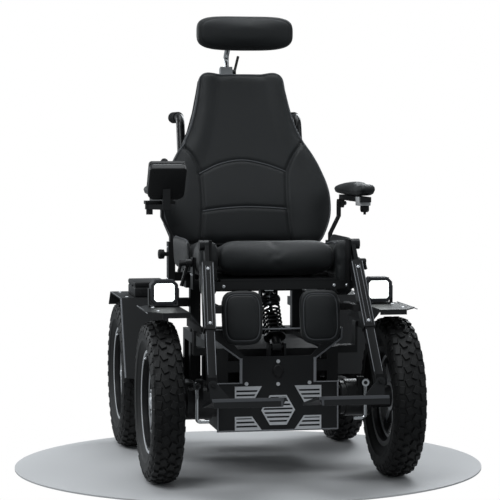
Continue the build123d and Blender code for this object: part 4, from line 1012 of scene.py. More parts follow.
class WHEELCHAIR_OT_tyres(bpy.types.Operator):
    """Makes one tyre with staggered tread blocks and shoulder lugs, and copies it to the four wheels"""
    bl_idname = "wheelchair.tyres"
    bl_label = "Tyres"

    def lug(self, name, size, taper):
        """One tread block: a block tapered towards its top, its edges broken."""
        clear_selection()
        bpy.ops.mesh.primitive_cube_add(size=1)
        piece = bpy.context.active_object
        piece.scale = size
        settle(piece, name)
        edit_where(piece, "FACE", lambda face: face.normal.z > 0.9)
        bpy.ops.transform.resize(value=(taper, taper, 1), center_override=(0, 0, size[2] / 2))
        bpy.ops.object.mode_set(mode="OBJECT")
        modify(piece, "BEVEL", width=0.0008, segments=1, limit_method="ANGLE", angle_limit=math.radians(50))
        return piece

    def execute(self, context):
        settings = context.scene.wheelchair_wheels
        section = list(TYRE_SECTION) + [(-a, r) for a, r in reversed(TYRE_SECTION[:-1])]
        carcass = turned("carcass", section + [section[0]], (0, 0, 0), (1, 0, 0), 128, 50)
        high = settings.lug_height + 0.004
        parts = [carcass]
        pitch = math.tau / settings.lugs
        rows = (
            ("crown", (0.0165, 0.0215, high), -0.0095, 0.2110, 0, 24, 0.0),
            ("crown", (0.0165, 0.0215, high), 0.0095, 0.2110, 0, -24, 0.5),
            ("shoulder", (0.0150, 0.0230, high), -0.0275, 0.2068, -18, -10, 0.5),
            ("shoulder", (0.0150, 0.0230, high), 0.0275, 0.2068, 18, 10, 0.0),
            ("side", (0.0190, 0.0150, 0.0055), -0.0405, 0.1935, -66, 0, 0.0),
            ("side", (0.0190, 0.0150, 0.0055), 0.0405, 0.1935, 66, 0, 0.5),
        )
        for kind, size, across, radius, lean, skew, phase in rows:
            block = self.lug(kind, size, 0.86)
            block.data.transform(Matrix.Rotation(math.radians(lean), 4, "Y")
                                 @ Matrix.Rotation(math.radians(skew), 4, "Z"))
            for index in range(settings.lugs):
                turn = Matrix.Rotation((index + phase) * pitch, 4, "X")
                parts.append(copy_of(block, turn @ Matrix.Translation((across, 0, radius))))
            bpy.data.objects.remove(block)
        tyre = joined("tyre_tread", parts)
        rim = (TYRE_R, TYRE_HALF)
        for vertex in tyre.data.vertices:
            spot = vertex.co
            spot.x = max(-rim[1], min(rim[1], spot.x))
            reach = math.hypot(spot.y, spot.z)
            if reach > rim[0] - 0.0002:
                spot.y, spot.z = (v * (rim[0] - 0.0002) / reach for v in (spot.y, spot.z))
        for end, y in AXLES.items():
            for side, sign in SIDES:
                turn = Matrix.Rotation(0.03 * (1 + sign) + (0.05 if end == "rear" else 0), 4, "X")
                name = f"tyre_{end}_{side}"
                piece = copy_of(tyre, Matrix.Translation((sign * WHEEL_X, y, AXLE_Z)) @ turn, f"{name}_tread")
                place_piece(piece, f"wheel_{end}_{side}", "tyre_rubber", name)
        bpy.data.objects.remove(tyre)
        return {"FINISHED"}


class WHEELCHAIR_OT_wheel_trim(bpy.types.Operator):
    """Adds a machined lip, a ring of hub bolts, an axle nut and a valve to each wheel"""
    bl_idname = "wheelchair.wheel_trim"
    bl_label = "Wheel trim"

    def execute(self, context):
        settings = context.scene.wheelchair_wheels
        lip = turned("lip", ((0.0288, 0.1295), (0.0304, 0.1295), (0.0318, 0.1325), (0.0312, 0.1368), (0.0296, 0.1372),
                             (0.0290, 0.1340), (0.0288, 0.1295)), (0, 0, 0), (1, 0, 0), 96, 50)
        cap = turned("cap", ((0.0175, 0.0), (0.0175, 0.0200), (0.0205, 0.0200), (0.0235, 0.0180), (0.0240, 0.0120),
                             (0.0262, 0.0105), (0.0262, 0.0)), (0, 0, 0), (1, 0, 0), 48)
        parts = [lip, cap]
        for index in range(settings.bolts):
            turn = Matrix.Rotation(index * math.tau / settings.bolts, 4, "X")
            bolt = barrel("bolt", (0.0175, 0, 0.0300), (0.0215, 0, 0.0300), 0.0038, 0.0007, 12)
            bolt.data.transform(turn)
            parts.append(bolt)
        valve = barrel("valve", (0.028, 0.0, 0.1212), (0.0335, 0.0, 0.1167), 0.0028, 0.0006, 14)
        parts.append(valve)
        trim = joined("trim", parts)
        for end, y in AXLES.items():
            for side, sign in SIDES:
                turn = Matrix.Rotation(math.radians(20), 4, "X")
                if sign < 0:
                    turn = Matrix.Rotation(math.pi, 4, "Z") @ turn
                piece = copy_of(trim, Matrix.Translation((sign * WHEEL_X, y, AXLE_Z)) @ turn,
                                f"wheel_trim_{end}_{side}")
                place_piece(piece, f"wheel_{end}_{side}", "silver_steel")
        bpy.data.objects.remove(trim)
        return {"FINISHED"}


# ------------------------------------------------------------------ lamps, boxes, panel and fenders
class WHEELCHAIR_OT_lamps(bpy.types.Operator):
    """Makes the two square lamps: finned housing, eight-sided bezel and glowing lens"""
    bl_idname = "wheelchair.lamps"
    bl_label = "Lamps"

    def execute(self, context):
        middle_z, wide, tall = 0.501, 0.074, 0.068
        housings, lenses = [], []
        for sign in (1, -1):
            x = sign * 0.296
            clear_selection()
            bpy.ops.mesh.primitive_cube_add(size=1, location=(x, -0.190, middle_z))
            body = bpy.context.active_object
            body.scale = (wide, 0.030, tall)
            settle(body, "housing")
            self.cut_corners(body, 0.012)
            rounded(body, 0.0012, 2)
            clear_selection()
            bpy.ops.mesh.primitive_cube_add(size=1, location=(x, -0.2080, middle_z))
            bezel = bpy.context.active_object
            bezel.scale = (wide, 0.0085, tall)
            settle(bezel, "bezel")
            self.cut_corners(bezel, 0.013)
            self.recess(bezel, 0.0085, 0.0030)
            rounded(bezel, 0.0009, 2)
            housings += [body, bezel]
            for index in range(7):
                z = middle_z - 0.026 + index * 0.0087
                housings.append(slab("fin", (x - 0.030, -0.1755, z - 0.0012), (x + 0.030, -0.1680, z + 0.0012), 0.0005,
                                     segments=1))
            for corner_x in (-1, 1):
                for corner_z in (-1, 1):
                    spot = (x + corner_x * 0.0262, middle_z + corner_z * 0.0318)
                    housings.append(barrel("screw", (spot[0], -0.2126, spot[1]), (spot[0], -0.2110, spot[1]), 0.0017,
                                           0.0004, 12))
            for end in (-1, 1):
                at = x + end * wide / 2
                housings.append(barrel("pivot", (at - end * 0.002, -0.190, middle_z),
                                       (at + end * 0.0014, -0.190, middle_z), 0.0062, 0.0005, 24))
            lens = slab("lens", (x - 0.0275, -0.2110, middle_z - 0.0245), (x + 0.0275, -0.2060, middle_z + 0.0245),
                        0.0022, segments=3)
            lenses.append(lens)
        housings = joined("lamp_housings", housings)
        place_piece(housings, "chassis", "light_alloy", "light_housings")
        lenses = joined("lamp_lenses", lenses)
        place_piece(lenses, "chassis", "lamp_lens")
        return {"FINISHED"}

    def cut_corners(self, piece, cut):
        """Cuts the four edges that run from front to rear to an eight-sided outline."""
        edit_where(piece, "EDGE", lambda edge: runs_along(piece, edge, 1))
        bpy.ops.mesh.bevel(offset=cut, segments=1, affect="EDGES")
        bpy.ops.object.mode_set(mode="OBJECT")

    def recess(self, piece, inset, depth):
        """Sinks the front face inside a rim."""
        edit_where(piece, "FACE", lambda face: face.normal.y < -0.9)
        bpy.ops.mesh.inset(thickness=inset)
        bpy.ops.mesh.extrude_region_move(TRANSFORM_OT_translate={"value": (0, depth, 0)})
        bpy.ops.object.mode_set(mode="OBJECT")


class WHEELCHAIR_OT_side_boxes(bpy.types.Operator):
    """Makes the boxes on the rear fenders: rounded, with a lid, a seam, a catch and ribs"""
    bl_idname = "wheelchair.side_boxes"
    bl_label = "Rear side boxes"

    def execute(self, context):
        parts = []
        for sign in (1, -1):
            inner, outer = sorted((sign * 0.2222, sign * 0.3195))
            parts.append(slab("box", (inner, 0.2405, 0.4522), (outer, 0.3995, 0.4810), 0.004))
            parts.append(slab("lid", (inner - 0.0003, 0.2400, 0.4822), (outer + 0.0003, 0.4000, 0.4968), 0.0045))
            middle = sign * 0.271
            parts.append(slab("seal", (inner + 0.002, 0.2425, 0.4805), (outer - 0.002, 0.3975, 0.4828), 0.0005,
                              segments=1))
            for index in range(4):
                x = middle + (index - 1.5) * 0.020
                parts.append(slab("rib", (x - 0.0022, 0.2396, 0.4580), (x + 0.0022, 0.2412, 0.4760), 0.0006,
                                  segments=1))
            edge = sign * 0.3195
            low, high = sorted((edge - sign * 0.001, edge + sign * 0.0004))
            parts.append(slab("catch", (low, 0.306, 0.470), (high, 0.334, 0.489), 0.0002, segments=1))
        boxes = joined("rear_side_boxes_shell", parts)
        place_piece(boxes, "chassis", "panel_black", "rear_side_boxes")
        return {"FINISHED"}


class WHEELCHAIR_OT_panel_trim(bpy.types.Operator):
    """Adds the folded edge flanges of the front panel, the charging cover and its hinge"""
    bl_idname = "wheelchair.panel_trim"
    bl_label = "Front panel trim"

    def execute(self, context):
        face = -0.2840
        # The grey flanges are a painted highlight along the black panel's folded edges.
        flanges = []
        for sign in (1, -1):
            flanges.append(self.strip(((sign * 0.104, 0.326), (sign * 0.174, 0.378), (sign * 0.1745, 0.406)), 0.0045,
                                      face))
            flanges.append(self.strip(((sign * 0.164, 0.262), (sign * 0.164, 0.132)), 0.0040, face))
            flanges.append(self.strip(((sign * 0.164, 0.261), (sign * 0.106, 0.261)), 0.0030, face))
            flanges.append(self.strip(((sign * 0.1010, 0.262), (sign * 0.1010, 0.326)), 0.0075, face))
        flanges.append(self.strip(((-0.162, 0.1325), (0.162, 0.1325)), 0.0040, face))
        flanges.append(self.strip(((-0.172, 0.4055), (0.172, 0.4055)), 0.0040, face))
        flanges = joined("panel_flanges", flanges)
        place_piece(flanges, "chassis", "edge_grey")

        cover = turned("cover", ((0.0, 0.0), (0.0, 0.0170), (0.0040, 0.0170), (0.0052, 0.0158), (0.0056, 0.0125),
                                 (0.0046, 0.0118), (0.0044, 0.0105), (0.0050, 0.0)), (0, 0, 0), (0, -1, 0), 56)
        cover.data.transform(Matrix.Translation((0, face + 0.0010, 0.2925)) @ Matrix.Diagonal((0.82, 1, 1.03, 1)))
        bits = [cover,
                slab("hinge", (-0.0050, face - 0.0040, 0.3075), (0.0050, face - 0.0005, 0.3115), 0.0010)]
        for x, z in ((-0.0165, 0.2925), (0.0165, 0.2925)):
            bits.append(barrel("rivet", (x, face + 0.0005, z), (x, face - 0.0014, z), 0.0016, 0.0004, 12))
        cover = joined("charging_cover", bits)
        place_piece(cover, "chassis", "moulded_black")
        return {"FINISHED"}

    def strip(self, line, width, face):
        """A folded edge along (x, z) points, standing just off the panel's face."""
        bits = []
        for (x0, z0), (x1, z1) in zip(line, line[1:]):
            run = Vector((x1 - x0, 0, z1 - z0))
            place = Matrix.Translation(((x0 + x1) / 2, 0, (z0 + z1) / 2)) @ Matrix.Rotation(
                -math.atan2(run.z, run.x), 4, "Y")
            bits.append(slab("flange", (-run.length / 2 - width / 4, face - 0.0022, -width / 2),
                             (run.length / 2 + width / 4, face + 0.0005, width / 2), 0.0008, place, 2))
        return joined("strip", bits)


class WHEELCHAIR_OT_fender_edges(bpy.types.Operator):
    """Adds a rolled edge and round-headed bolts to the four fenders"""
    bl_idname = "wheelchair.fender_edges"
    bl_label = "Fender edges"

    def execute(self, context):
        edges, bolts = [], []
        for sign in (1, -1):
            x = sign * 0.3625
            edges.append(pipe("edge", [(x, -0.153, 0.4615), (x, -0.258, 0.4615), (x, -0.3635, 0.4595)], 0.0014,
                              order=2))
            edges.append(pipe("edge", [(x, 0.232, 0.4515), (x, 0.478, 0.4515), (x, 0.5235, 0.4125)], 0.0014,
                              order=2))
            edges.append(pipe("edge", [(x - sign * 0.0015, 0.2295, 0.4505), (x - sign * 0.0015, 0.1262, 0.2320)],
                              0.0026, order=2))
            for y in (-0.225, -0.335):
                bolts.append(self.bolt((sign * 0.330, y, 0.4618)))
            for y in (0.262, 0.440):
                bolts.append(self.bolt((sign * 0.340, y, 0.4518)))
        # The grey rolled edges are a painted highlight along the black fenders' edges.
        edges = joined("fender_rolled_edges", edges)
        place_piece(edges, "chassis", "edge_grey")
        bolts = joined("fender_bolts", bolts)
        place_piece(bolts, "chassis", "silver_steel")
        return {"FINISHED"}

    def bolt(self, spot):
        """A round-headed bolt standing up from a place."""
        return dome("bolt", spot, (0, 0, 1), 0.0050, 0.0028)


def dome(name, spot, way, radius, height):
    """A button-headed bolt with a socket, its head standing off a place."""
    outline = ((-0.0006, 0.0), (-0.0006, radius), (height * 0.35, radius), (height * 0.80, radius * 0.80),
               (height, radius * 0.48), (height, radius * 0.42), (height * 0.35, radius * 0.38), (height * 0.35, 0.0))
    return turned(name, outline, spot, way, 20, 35)


# ------------------------------------------------------------------ legs and feet
def leg_frame(sign):
    """The leg rest's own frame: z runs down the leg from its pivot, -y faces forwards."""
    pivot = Vector((sign * 0.198, -0.303, 0.632))
    foot = Vector((sign * 0.219, -0.522, 0.286))
    down = (foot - pivot).normalized()
    side = Vector((1, 0, 0))
    side = (side - down * side.dot(down)).normalized()
    ahead = down.cross(side)
    turn = Matrix((side, ahead, down)).transposed().to_4x4()
    return Matrix.Translation(pivot) @ turn


class WHEELCHAIR_OT_leg_trim(bpy.types.Operator):
    """Adds bright grey edges, a painted highlight, and bolts and knobs to the leg rests and footplates"""
    bl_idname = "wheelchair.leg_trim"
    bl_label = "Leg rest trim"

    def execute(self, context):
        for side, sign in SIDES:
            place = leg_frame(sign)
            front = -1 if (place.to_3x3() @ Vector((0, 1, 0))).y > 0 else 1
            # Grey strips along the leg rest's edges and grooves: painted highlight where the black hanger's edges catch
            # the light.
            edges = []
            for x in (-0.0138, 0.0138):
                low, high = sorted((front * 0.0142, front * 0.0156))
                edges.append(slab("edge", (x - 0.0009, low, 0.060), (x + 0.0009, high, 0.252), 0.0004, place, 1))
            for x in (-0.0060, 0.0060):
                low, high = sorted((front * 0.0146, front * 0.0158))
                edges.append(slab("groove", (x - 0.0006, low, 0.070), (x + 0.0006, high, 0.244), 0.0003, place, 1))
            holes = []
            for along in (0.078, 0.238):
                holes.append(self.knob(place, (0, front * 0.0150, along), (0, front, 0), 0.0042, 0.0022))
            trim = joined(f"leg_edges_{side}", edges)
            place_piece(trim, f"leg_{side}", "edge_grey")
            bolts = joined(f"leg_bolts_{side}", holes)
            place_piece(bolts, f"leg_{side}", "silver_steel")

            # Grey strips on the slider: painted highlight along its black edges.
            slider = []
            for x in (-0.0108, 0.0108):
                low, high = sorted((front * 0.0112, front * 0.0126))
                slider.append(slab("edge", (x - 0.0008, low, 0.262), (x + 0.0008, high, 0.385), 0.0004, place, 1))
            slider = joined(f"slider_edges_{side}", slider)
            place_piece(slider, f"leg_slider_{side}", "edge_grey")

            foot = Matrix.Translation((sign * 0.219, -0.522, 0.286)) @ Matrix.Rotation(math.radians(-12), 4, "X")
            inner, outer = sorted((sign * -0.170, sign * 0.006))
            grips = []
            for index in range(9):
                y = -0.058 + index * 0.0205
                grips.append(slab("rib", (inner + 0.012, y - 0.0028, -0.0402), (outer - 0.010, y + 0.0028, -0.0376),
                                  0.0009, foot, 1))
            tread = joined(f"footplate_ribs_{side}", grips)
            place_piece(tread, f"footplate_{side}", "soft_rubber")
            # A lighter grey lip along the footplate's front and end: painted highlight on the black footplate's edges.
            edge = [slab("edge", (inner - 0.006, -0.0712, -0.0480), (outer + 0.001, -0.0698, -0.0395), 0.0005, foot, 1)]
            edge.append(slab("end", (-sign * 0.1665 - 0.003, -0.0712, -0.0620),
                             (-sign * 0.1665 + 0.003, -0.0698, -0.0400), 0.0005, foot, 1))
            edge = joined(f"footplate_edge_{side}", edge)
            place_piece(edge, f"footplate_{side}", "battery_case")
        return {"FINISHED"}

    def knob(self, place, spot, way, radius, height):
        """A small round head at a place in a leg's frame."""
        return dome_at(place, spot, way, radius, height)


def dome_at(place, spot, way, radius, height):
    """A button-headed bolt at a place in a placed frame."""
    bolt = dome("bolt", (0, 0, 0), (0, 0, 1), radius, height)
    turn = Vector(way).to_track_quat("Z", "Y").to_matrix().to_4x4()
    bolt.data.transform(place @ Matrix.Translation(Vector(spot)) @ turn)
    return bolt


# ------------------------------------------------------------------ controls
def pod_place():
    """The pod's own frame: z up to the user's hand, -y to its raised front edge."""
    return Matrix.Translation(POD_CENTRE) @ Matrix.Rotation(-POD_TILT, 4, "X")


class WHEELCHAIR_OT_pod(bpy.types.Operator):
    """Makes the controller: rounded shell in two halves, a collar, keys, a display and a light bar"""
    bl_idname = "wheelchair.pod"
    bl_label = "Controller pod"

    def execute(self, context):
        place = pod_place()
        shell = self.shell(place, (-0.0188, 0.0030), 0.0498, 0.0522, "base")
        upper = self.shell(place, (0.0042, 0.0185), 0.0494, 0.0518, "upper")
        band = self.shell(place, (0.0026, 0.0046), 0.0480, 0.0504, "band")
        stick_y = -0.018
        collar = turned("collar", ((0.0150, 0.0140), (0.0188, 0.0140), (0.0189, 0.0160), (0.0186, 0.0205),
                                   (0.0180, 0.0225), (0.0150, 0.0235), (0.0150, 0.0140)), (0, 0, 0), (0, 0, 1), 56)
        collar.data.transform(place @ Matrix.Translation((0, stick_y, 0)))
        clear_selection()
        bpy.ops.mesh.primitive_cylinder_add(vertices=56, radius=0.0138, depth=0.030)
        cutter = bpy.context.active_object
        cutter.data.transform(place @ Matrix.Translation((0, stick_y, 0.019)))
        for half in (shell, upper, band):
            modify(half, "BOOLEAN", operation="DIFFERENCE", object=cutter, solver="EXACT")
        bpy.data.objects.remove(cutter)
        pod = joined("pod_shell", [shell, upper, band, collar])
        pick(pod)
        bpy.ops.object.shade_smooth_by_angle(angle=math.radians(35))
        place_piece(pod, "controller", "moulded_black", "controller_pod")

        keys = []
        for x, y in ((-0.030, 0.012), (-0.010, 0.012), (0.010, 0.012), (0.030, 0.012), (-0.030, 0.040), (0.030, 0.040)):
            keys.append(slab("key", (x - 0.0068, y - 0.0045, 0.0178), (x + 0.0068, y + 0.0045, 0.0196), 0.0008,
                             place, 2))
        keys = joined("pod_keys", keys)
        place_piece(keys, "controller", "soft_rubber")
        screen = slab("pod_display", (-0.0190, 0.0240, 0.0176), (0.0190, 0.0480, 0.0190), 0.0006, place, 2)
        place_piece(screen, "controller", "display_glass")
        bar = slab("pod_light_bar", (-0.0400, -0.0521, -0.0090), (0.0400, -0.0496, 0.0010), 0.0008, place, 2)
        place_piece(bar, "controller", "pad_grey")
        screws = [dome_at(place, (x, y, -0.0185), (0, 0, -1), 0.0030, 0.0009)
                  for x in (-0.038, 0.038) for y in (-0.040, 0.036)]
        screws = joined("pod_screws", screws)
        place_piece(screws, "controller", "frame_black")
        return {"FINISHED"}

    def shell(self, place, span, half_x, half_y, name):
        """One half of the shell: a block with big rounds on its lower corners and small ones above."""
        low, high = span
        clear_selection()
        bpy.ops.mesh.primitive_cube_add(size=1, location=(0, 0, (low + high) / 2))
        piece = bpy.context.active_object
        piece.scale = (2 * half_x, 2 * half_y, high - low)
        settle(piece, name)
        for sign, radius in ((1, 0.020), (-1, 0.009)):
            edit_where(piece, "EDGE", lambda edge, sign=sign: runs_along(piece, edge, 2) and all(
                piece.data.vertices[index].co.y * sign > 0.02 for index in edge.vertices))
            bpy.ops.mesh.bevel(offset=radius, segments=8, profile=0.5, affect="EDGES")
            bpy.ops.object.mode_set(mode="OBJECT")
        modify(piece, "BEVEL", width=min(0.0035, (high - low) * 0.3), segments=3, limit_method="ANGLE",
               angle_limit=math.radians(60))
        piece.data.transform(place)
        return piece


class WHEELCHAIR_OT_joystick(bpy.types.Operator):
    """Makes the joystick: a pleated boot over the ball, a stem and a mushroom knob"""
    bl_idname = "wheelchair.joystick"
    bl_label = "Joystick"

    def execute(self, context):
        place = pod_place() @ Matrix.Translation((0, -0.018, 0.013))
        knob = turned("knob", ((0.0262, 0.0), (0.0262, 0.0070), (0.0285, 0.0088), (0.0330, 0.0098), (0.0380, 0.0104),
                               (0.0430, 0.0108), (0.0475, 0.0104), (0.0505, 0.0088), (0.0518, 0.0060), (0.0512, 0.0),
                               ), (0, 0, 0), (0, 0, 1), 48, 60)
        boot = turned("boot", ((-0.0078, 0.0), (-0.0070, 0.0034), (-0.0050, 0.0060), (-0.0020, 0.0075),
                               (0.0015, 0.0076), (0.0040, 0.0066), (0.0060, 0.0056), (0.0068, 0.0080),
                               (0.0078, 0.0084), (0.0088, 0.0074),
                               (0.0100, 0.0082), (0.0112, 0.0070), (0.0134, 0.0074), (0.0152, 0.0058), (0.0176, 0.0060),
                               (0.0200, 0.0046), (0.0262, 0.0042), (0.0262, 0.0)), (0, 0, 0), (0, 0, 1), 48, 60)
        for piece in (knob, boot):
            piece.data.transform(place)
        stick = joined("joystick_knob", [knob, boot])
        place_piece(stick, "joystick", "soft_rubber", "joystick")
        return {"FINISHED"}


class WHEELCHAIR_OT_spring(bpy.types.Operator):
    """Winds the shock absorber's spring, held at each end by one half of the shock"""
    bl_idname = "wheelchair.spring"
    bl_label = "Shock spring"
    turns: bpy.props.IntProperty(name="Turns", description="Turns of the spring", default=8, min=3)

    def execute(self, context):
        low, high = Vector((0, -0.256, 0.353)), Vector((0, -0.143, 0.498))
        along = (high - low).normalized()
        side = Vector((1, 0, 0))
        cross = along.cross(side)
        first, last, coil = 0.0395, 0.1385, 0.0240
        points = []
        for step in range(self.turns * 16 + 1):
            turn = math.tau * step / 16
            reach = first + (last - first) * step / (self.turns * 16)
            points.append(low + along * reach + side * (coil * math.cos(turn)) + cross * (coil * math.sin(turn)))
        spring = pipe("shock_spring_coil", points, 0.0031, rings=12, smooth=3)
        paint(spring, "frame_black")
        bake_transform(spring)
        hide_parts("shock_spring")
        return {"FINISHED"}


class WHEELCHAIR_OT_fittings(bpy.types.Operator):
    """Adds the hinge bolts, clamp knobs and other small silver fittings"""
    bl_idname = "wheelchair.fittings"
    bl_label = "Fittings"

    def execute(self, context):
        for side, sign in SIDES:
            bits = []
            for y, z in ((0.104, 0.514), (0.120, 0.514), (0.112, 0.604)):
                bits.append(dome("bolt", (sign * 0.2418, y, z), (sign, 0, 0), 0.0042, 0.0024))
            for y in (-0.225, -0.205):
                bits.append(dome("bolt", (sign * 0.2228, y, 0.548), (sign, 0, 0), 0.0034, 0.0020))
            for x in (0.150, 0.185):
                bits.append(dome("bolt", (sign * x, -0.2998, 0.5215), (0, -1, 0), 0.0042, 0.0024))
            seat = joined(f"seat_bolts_{side}", bits)
            place_piece(seat, "seat", "silver_steel")

            arm = [dome("bolt", (sign * 0.2766, 0.112, 0.727), (sign, 0, 0), 0.0058, 0.0036)]
            arm.append(dome("bolt", (sign * 0.2768, -0.040, 0.7368), (0, 0, -1), 0.0040, 0.0024))
            arm.append(dome("bolt", (sign * 0.2768, 0.050, 0.7368), (0, 0, -1), 0.0040, 0.0024))
            arm = joined(f"arm_bolts_{side}", arm)
            place_piece(arm, f"armrest_{side}", "silver_steel")

            knob = turned(f"post_knob_{side}", ((0.0, 0.0), (0.0, 0.0060), (0.0080, 0.0060), (0.0100, 0.0130),
                                                (0.0220, 0.0140), (0.0260, 0.0120), (0.0270, 0.0080), (0.0270, 0.0)),
                          (sign * 0.2418, 0.112, 0.585), (sign, 0, 0), 12, 30)
            place_piece(knob, "seat", "moulded_black")

            lever = [dome("bolt", (sign * 0.2384, -0.215, 0.580), (sign, 0, 0), 0.0050, 0.0030)]
            lever = joined(f"lever_bolt_{side}", lever)
            place_piece(lever, f"clamp_lever_{side}", "silver_steel")

            arm_bolts = []
            for y, z in ((-0.275, 0.2445), (-0.235, 0.216), (-0.190, 0.2160)):
                arm_bolts.append(dome("bolt", (sign * 0.1700, y, z), (-sign, 0, 0), 0.0046, 0.0026))
            arm_bolts = joined(f"front_arm_bolts_{side}", arm_bolts)
            place_piece(arm_bolts, f"front_arm_{side}", "silver_steel")
            handle = [turned("hub", ((0.0, 0.0), (0.0, 0.0078), (0.0140, 0.0078), (0.0165, 0.0062), (0.0170, 0.0)),
                             (sign * 0.2412, -0.215, 0.580), (sign, 0, 0), 32, 35),
                      turned("grip", ((0.0, 0.0), (0.0, 0.0050), (0.018, 0.0042), (0.0255, 0.0050), (0.0275, 0.0),),
                             (sign * 0.2520, -0.215, 0.5825), (sign * 0.22, 0, -1), 24, 50)]
            handle = joined(f"lever_handle_{side}", handle)
            place_piece(handle, f"clamp_lever_{side}", "moulded_black")
        block = slab("arm_clamp_block", (0.2590, -0.1250, 0.7270), (0.2935, -0.0850, 0.7513), 0.0020)
        place_piece(block, "armrest_left", "pad_grey")
        knob = [turned("knob", ((0.0, 0.0), (0.0, 0.0095), (0.0025, 0.0110), (0.0190, 0.0110), (0.0215, 0.0095),
                                (0.0218, 0.0)), (0.2700, -0.105, 0.7195), (1, 0, 0), 12, 30),
                barrel("screw", (0.2810, -0.105, 0.7100), (0.2810, -0.105, 0.7020), 0.0038, 0.0006, 16)]
        knob = joined("arm_clamp_knob", knob)
        place_piece(knob, "armrest_left", "moulded_black")
        low = Vector((0, -0.256, 0.353))
        eye = barrel("shock_eye_bolt", low - Vector((0.0215, 0, 0)), low + Vector((0.0215, 0, 0)), 0.0048, 0.0008, 20)
        place_piece(eye, "shock_lower", "silver_steel")
        knob = turned("pod_clamp_knob", ((0.0, 0.0), (0.0, 0.0045), (0.0060, 0.0045), (0.0070, 0.0100),
                                         (0.0130, 0.0110), (0.0155, 0.0095), (0.0160, 0.0)),
                      (-0.3130, -0.178, 0.7700), (-1, 0, 0), 40, 35)
        place_piece(knob, "controller", "pad_grey")
        return {"FINISHED"}


class WHEELCHAIR_OT_grips(bpy.types.Operator):
    """Makes the ribbed push grips"""
    bl_idname = "wheelchair.grips"
    bl_label = "Push grips"

    def execute(self, context):
        grips = []
        for sign in (1, -1):
            outline = [(0.0, 0.0), (0.0, 0.0150), (0.0020, 0.0168)]
            for index in range(9):
                start = 0.006 + index * 0.0092
                outline += [(start, 0.0168), (start + 0.0016, 0.0150), (start + 0.0052, 0.0150),
                            (start + 0.0068, 0.0168)]
            outline += [(0.0920, 0.0168), (0.0950, 0.0150), (0.0958, 0.0100), (0.0958, 0.0)]
            grips.append(turned("grip", outline, (sign * 0.175, 0.3536, 0.9748), (0, 1, 0), 32, 35))
        grips = joined("push_grips_ribbed", grips)
        place_piece(grips, "back", "soft_rubber", "push_grips")
        return {"FINISHED"}


# ------------------------------------------------------------------ finishes and stage
NODE_FINISH = {"controller_arm": "frame_black", "clamp_lever_left": "frame_black", "clamp_lever_right": "frame_black"}


class WHEELCHAIR_OT_finishes(bpy.types.Operator):
    """Gives every node of the frame the finish of its record's slot"""
    bl_idname = "wheelchair.finishes"
    bl_label = "Finishes"

    def execute(self, context):
        slots = {part["node"]: part["material_slot"] for part in frame["record"]["subparts"]}
        for name, node in NODES.items():
            slot = slots[name]
            node.data.materials.clear()
            node.data.materials.append(finish(NODE_FINISH.get(name, slot)))
        return {"FINISHED"}


class WHEELCHAIR_OT_stage(bpy.types.Operator):
    """Sets the round floor, white surroundings, soft lights and camera"""
    bl_idname = "wheelchair.stage"
    bl_label = "Stage"

    def execute(self, context):
        scene = context.scene
        clear_selection()
        bpy.ops.mesh.primitive_cylinder_add(vertices=160, radius=0.655, depth=0.004, location=(-0.030, -0.010, -0.0021))
        floor = bpy.context.active_object
        floor.scale = (1, 0.95, 1)
        settle(floor, "floor_disc")
        paint(floor, "studio_floor")

        world = bpy.data.worlds.new("studio")
        scene.world = world
        world.use_nodes = True
        tree = world.node_tree
        back = tree.nodes["Background"]
        back.inputs[0].default_value = (0.88, 0.95, 1, 1)
        back.inputs[1].default_value = 0.24
        seen = tree.nodes.new("ShaderNodeBackground")
        seen.inputs[0].default_value = (1, 1, 1, 1)
        seen.inputs[1].default_value = 1.0
        path = tree.nodes.new("ShaderNodeLightPath")
        mix = tree.nodes.new("ShaderNodeMixShader")
        tree.links.new(path.outputs["Is Camera Ray"], mix.inputs[0])
        tree.links.new(back.outputs[0], mix.inputs[1])
        tree.links.new(seen.outputs[0], mix.inputs[2])
        tree.links.new(mix.outputs[0], tree.nodes["World Output"].inputs[0])

        for name, spot, size, power in (
                ("key", (-2.4, -3.0, 3.8), 2.2, 85), ("fill", (3.2, -2.6, 2.4), 2.4, 22),
                ("top", (0.2, 0.2, 3.6), 2.6, 60), ("rim", (1.8, 2.8, 2.4), 1.6, 55),
                ("rim_low", (-2.6, 2.0, 1.6), 1.4, 40)):
            data = bpy.data.lights.new(name, "AREA")
            data.size = size
            data.energy = power
            data.color = LIGHT_COLOUR
            lamp = bpy.data.objects.new(name, data)
            lamp.location = spot
            aim = LIGHT_AIM - Vector(spot)
            lamp.rotation_euler = aim.to_track_quat("-Z", "Y").to_euler()
            scene.collection.objects.link(lamp)

        lens = bpy.data.cameras.new("camera")
        lens.lens = CAMERA_LENS
        lens.sensor_width = 36
        camera = bpy.data.objects.new("camera", lens)
        camera.location = CAMERA_SPOT
        look = Vector((math.sin(CAMERA_YAW) * math.cos(CAMERA_PITCH), math.cos(CAMERA_YAW) * math.cos(CAMERA_PITCH),
                       math.sin(CAMERA_PITCH)))
        camera.rotation_euler = look.to_track_quat("-Z", "Y").to_euler()
        scene.collection.objects.link(camera)
        scene.camera = camera
        scene.view_settings.view_transform = "Standard"
        return {"FINISHED"}


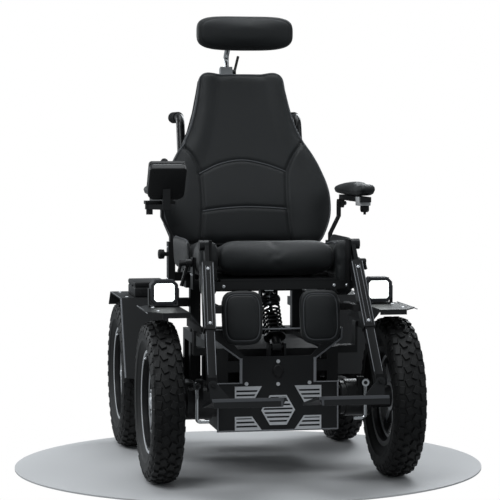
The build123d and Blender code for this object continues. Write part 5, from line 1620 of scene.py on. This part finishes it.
class WHEELCHAIR_PT_sidebar(bpy.types.Panel):
    """Sizes, colours and the steps that build the chair"""
    bl_idname = "WHEELCHAIR_PT_sidebar"
    bl_label = "Power wheelchair"
    bl_space_type = "VIEW_3D"
    bl_region_type = "UI"
    bl_category = "Wheelchair"

    def draw(self, context):
        layout = self.layout
        scene = context.scene
        for title, settings in (("Upholstery", scene.wheelchair_upholstery), ("Wheels", scene.wheelchair_wheels),
                                ("Lamps", scene.wheelchair_lamps)):
            box = layout.box()
            box.label(text=title)
            for key in settings.__annotations__:
                box.prop(settings, key)
        for step in STEPS:
            layout.operator(step.bl_idname)


SETTINGS = {"wheelchair_upholstery": UpholsterySettings, "wheelchair_wheels": WheelSettings,
            "wheelchair_lamps": LampSettings}
STEPS = (WHEELCHAIR_OT_finishes, WHEELCHAIR_OT_back, WHEELCHAIR_OT_seat, WHEELCHAIR_OT_headrest,
         WHEELCHAIR_OT_arm_pads, WHEELCHAIR_OT_calf_pads, WHEELCHAIR_OT_tyres, WHEELCHAIR_OT_wheel_trim,
         WHEELCHAIR_OT_lamps, WHEELCHAIR_OT_side_boxes, WHEELCHAIR_OT_panel_trim, WHEELCHAIR_OT_fender_edges,
         WHEELCHAIR_OT_leg_trim, WHEELCHAIR_OT_pod, WHEELCHAIR_OT_joystick, WHEELCHAIR_OT_spring,
         WHEELCHAIR_OT_fittings, WHEELCHAIR_OT_grips, WHEELCHAIR_OT_stage)


def register():
    """Registers the settings, operators and panel."""
    for kind in (*SETTINGS.values(), *STEPS, WHEELCHAIR_PT_sidebar):
        bpy.utils.register_class(kind)
    for name, kind in SETTINGS.items():
        setattr(bpy.types.Scene, name, bpy.props.PointerProperty(type=kind))


def unregister():
    """Takes the panel, operators and settings away."""
    for name in SETTINGS:
        delattr(bpy.types.Scene, name)
    for kind in (WHEELCHAIR_PT_sidebar, *reversed(STEPS), *SETTINGS.values()):
        bpy.utils.unregister_class(kind)


def main():
    """Registers the add-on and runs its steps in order."""
    register()
    for step in STEPS:
        group, name = step.bl_idname.split(".")
        result = getattr(getattr(bpy.ops, group), name)()
        if "FINISHED" not in result:
            raise RuntimeError(f"{step.bl_label} didn't finish")


if __name__ == "__main__":
    main()
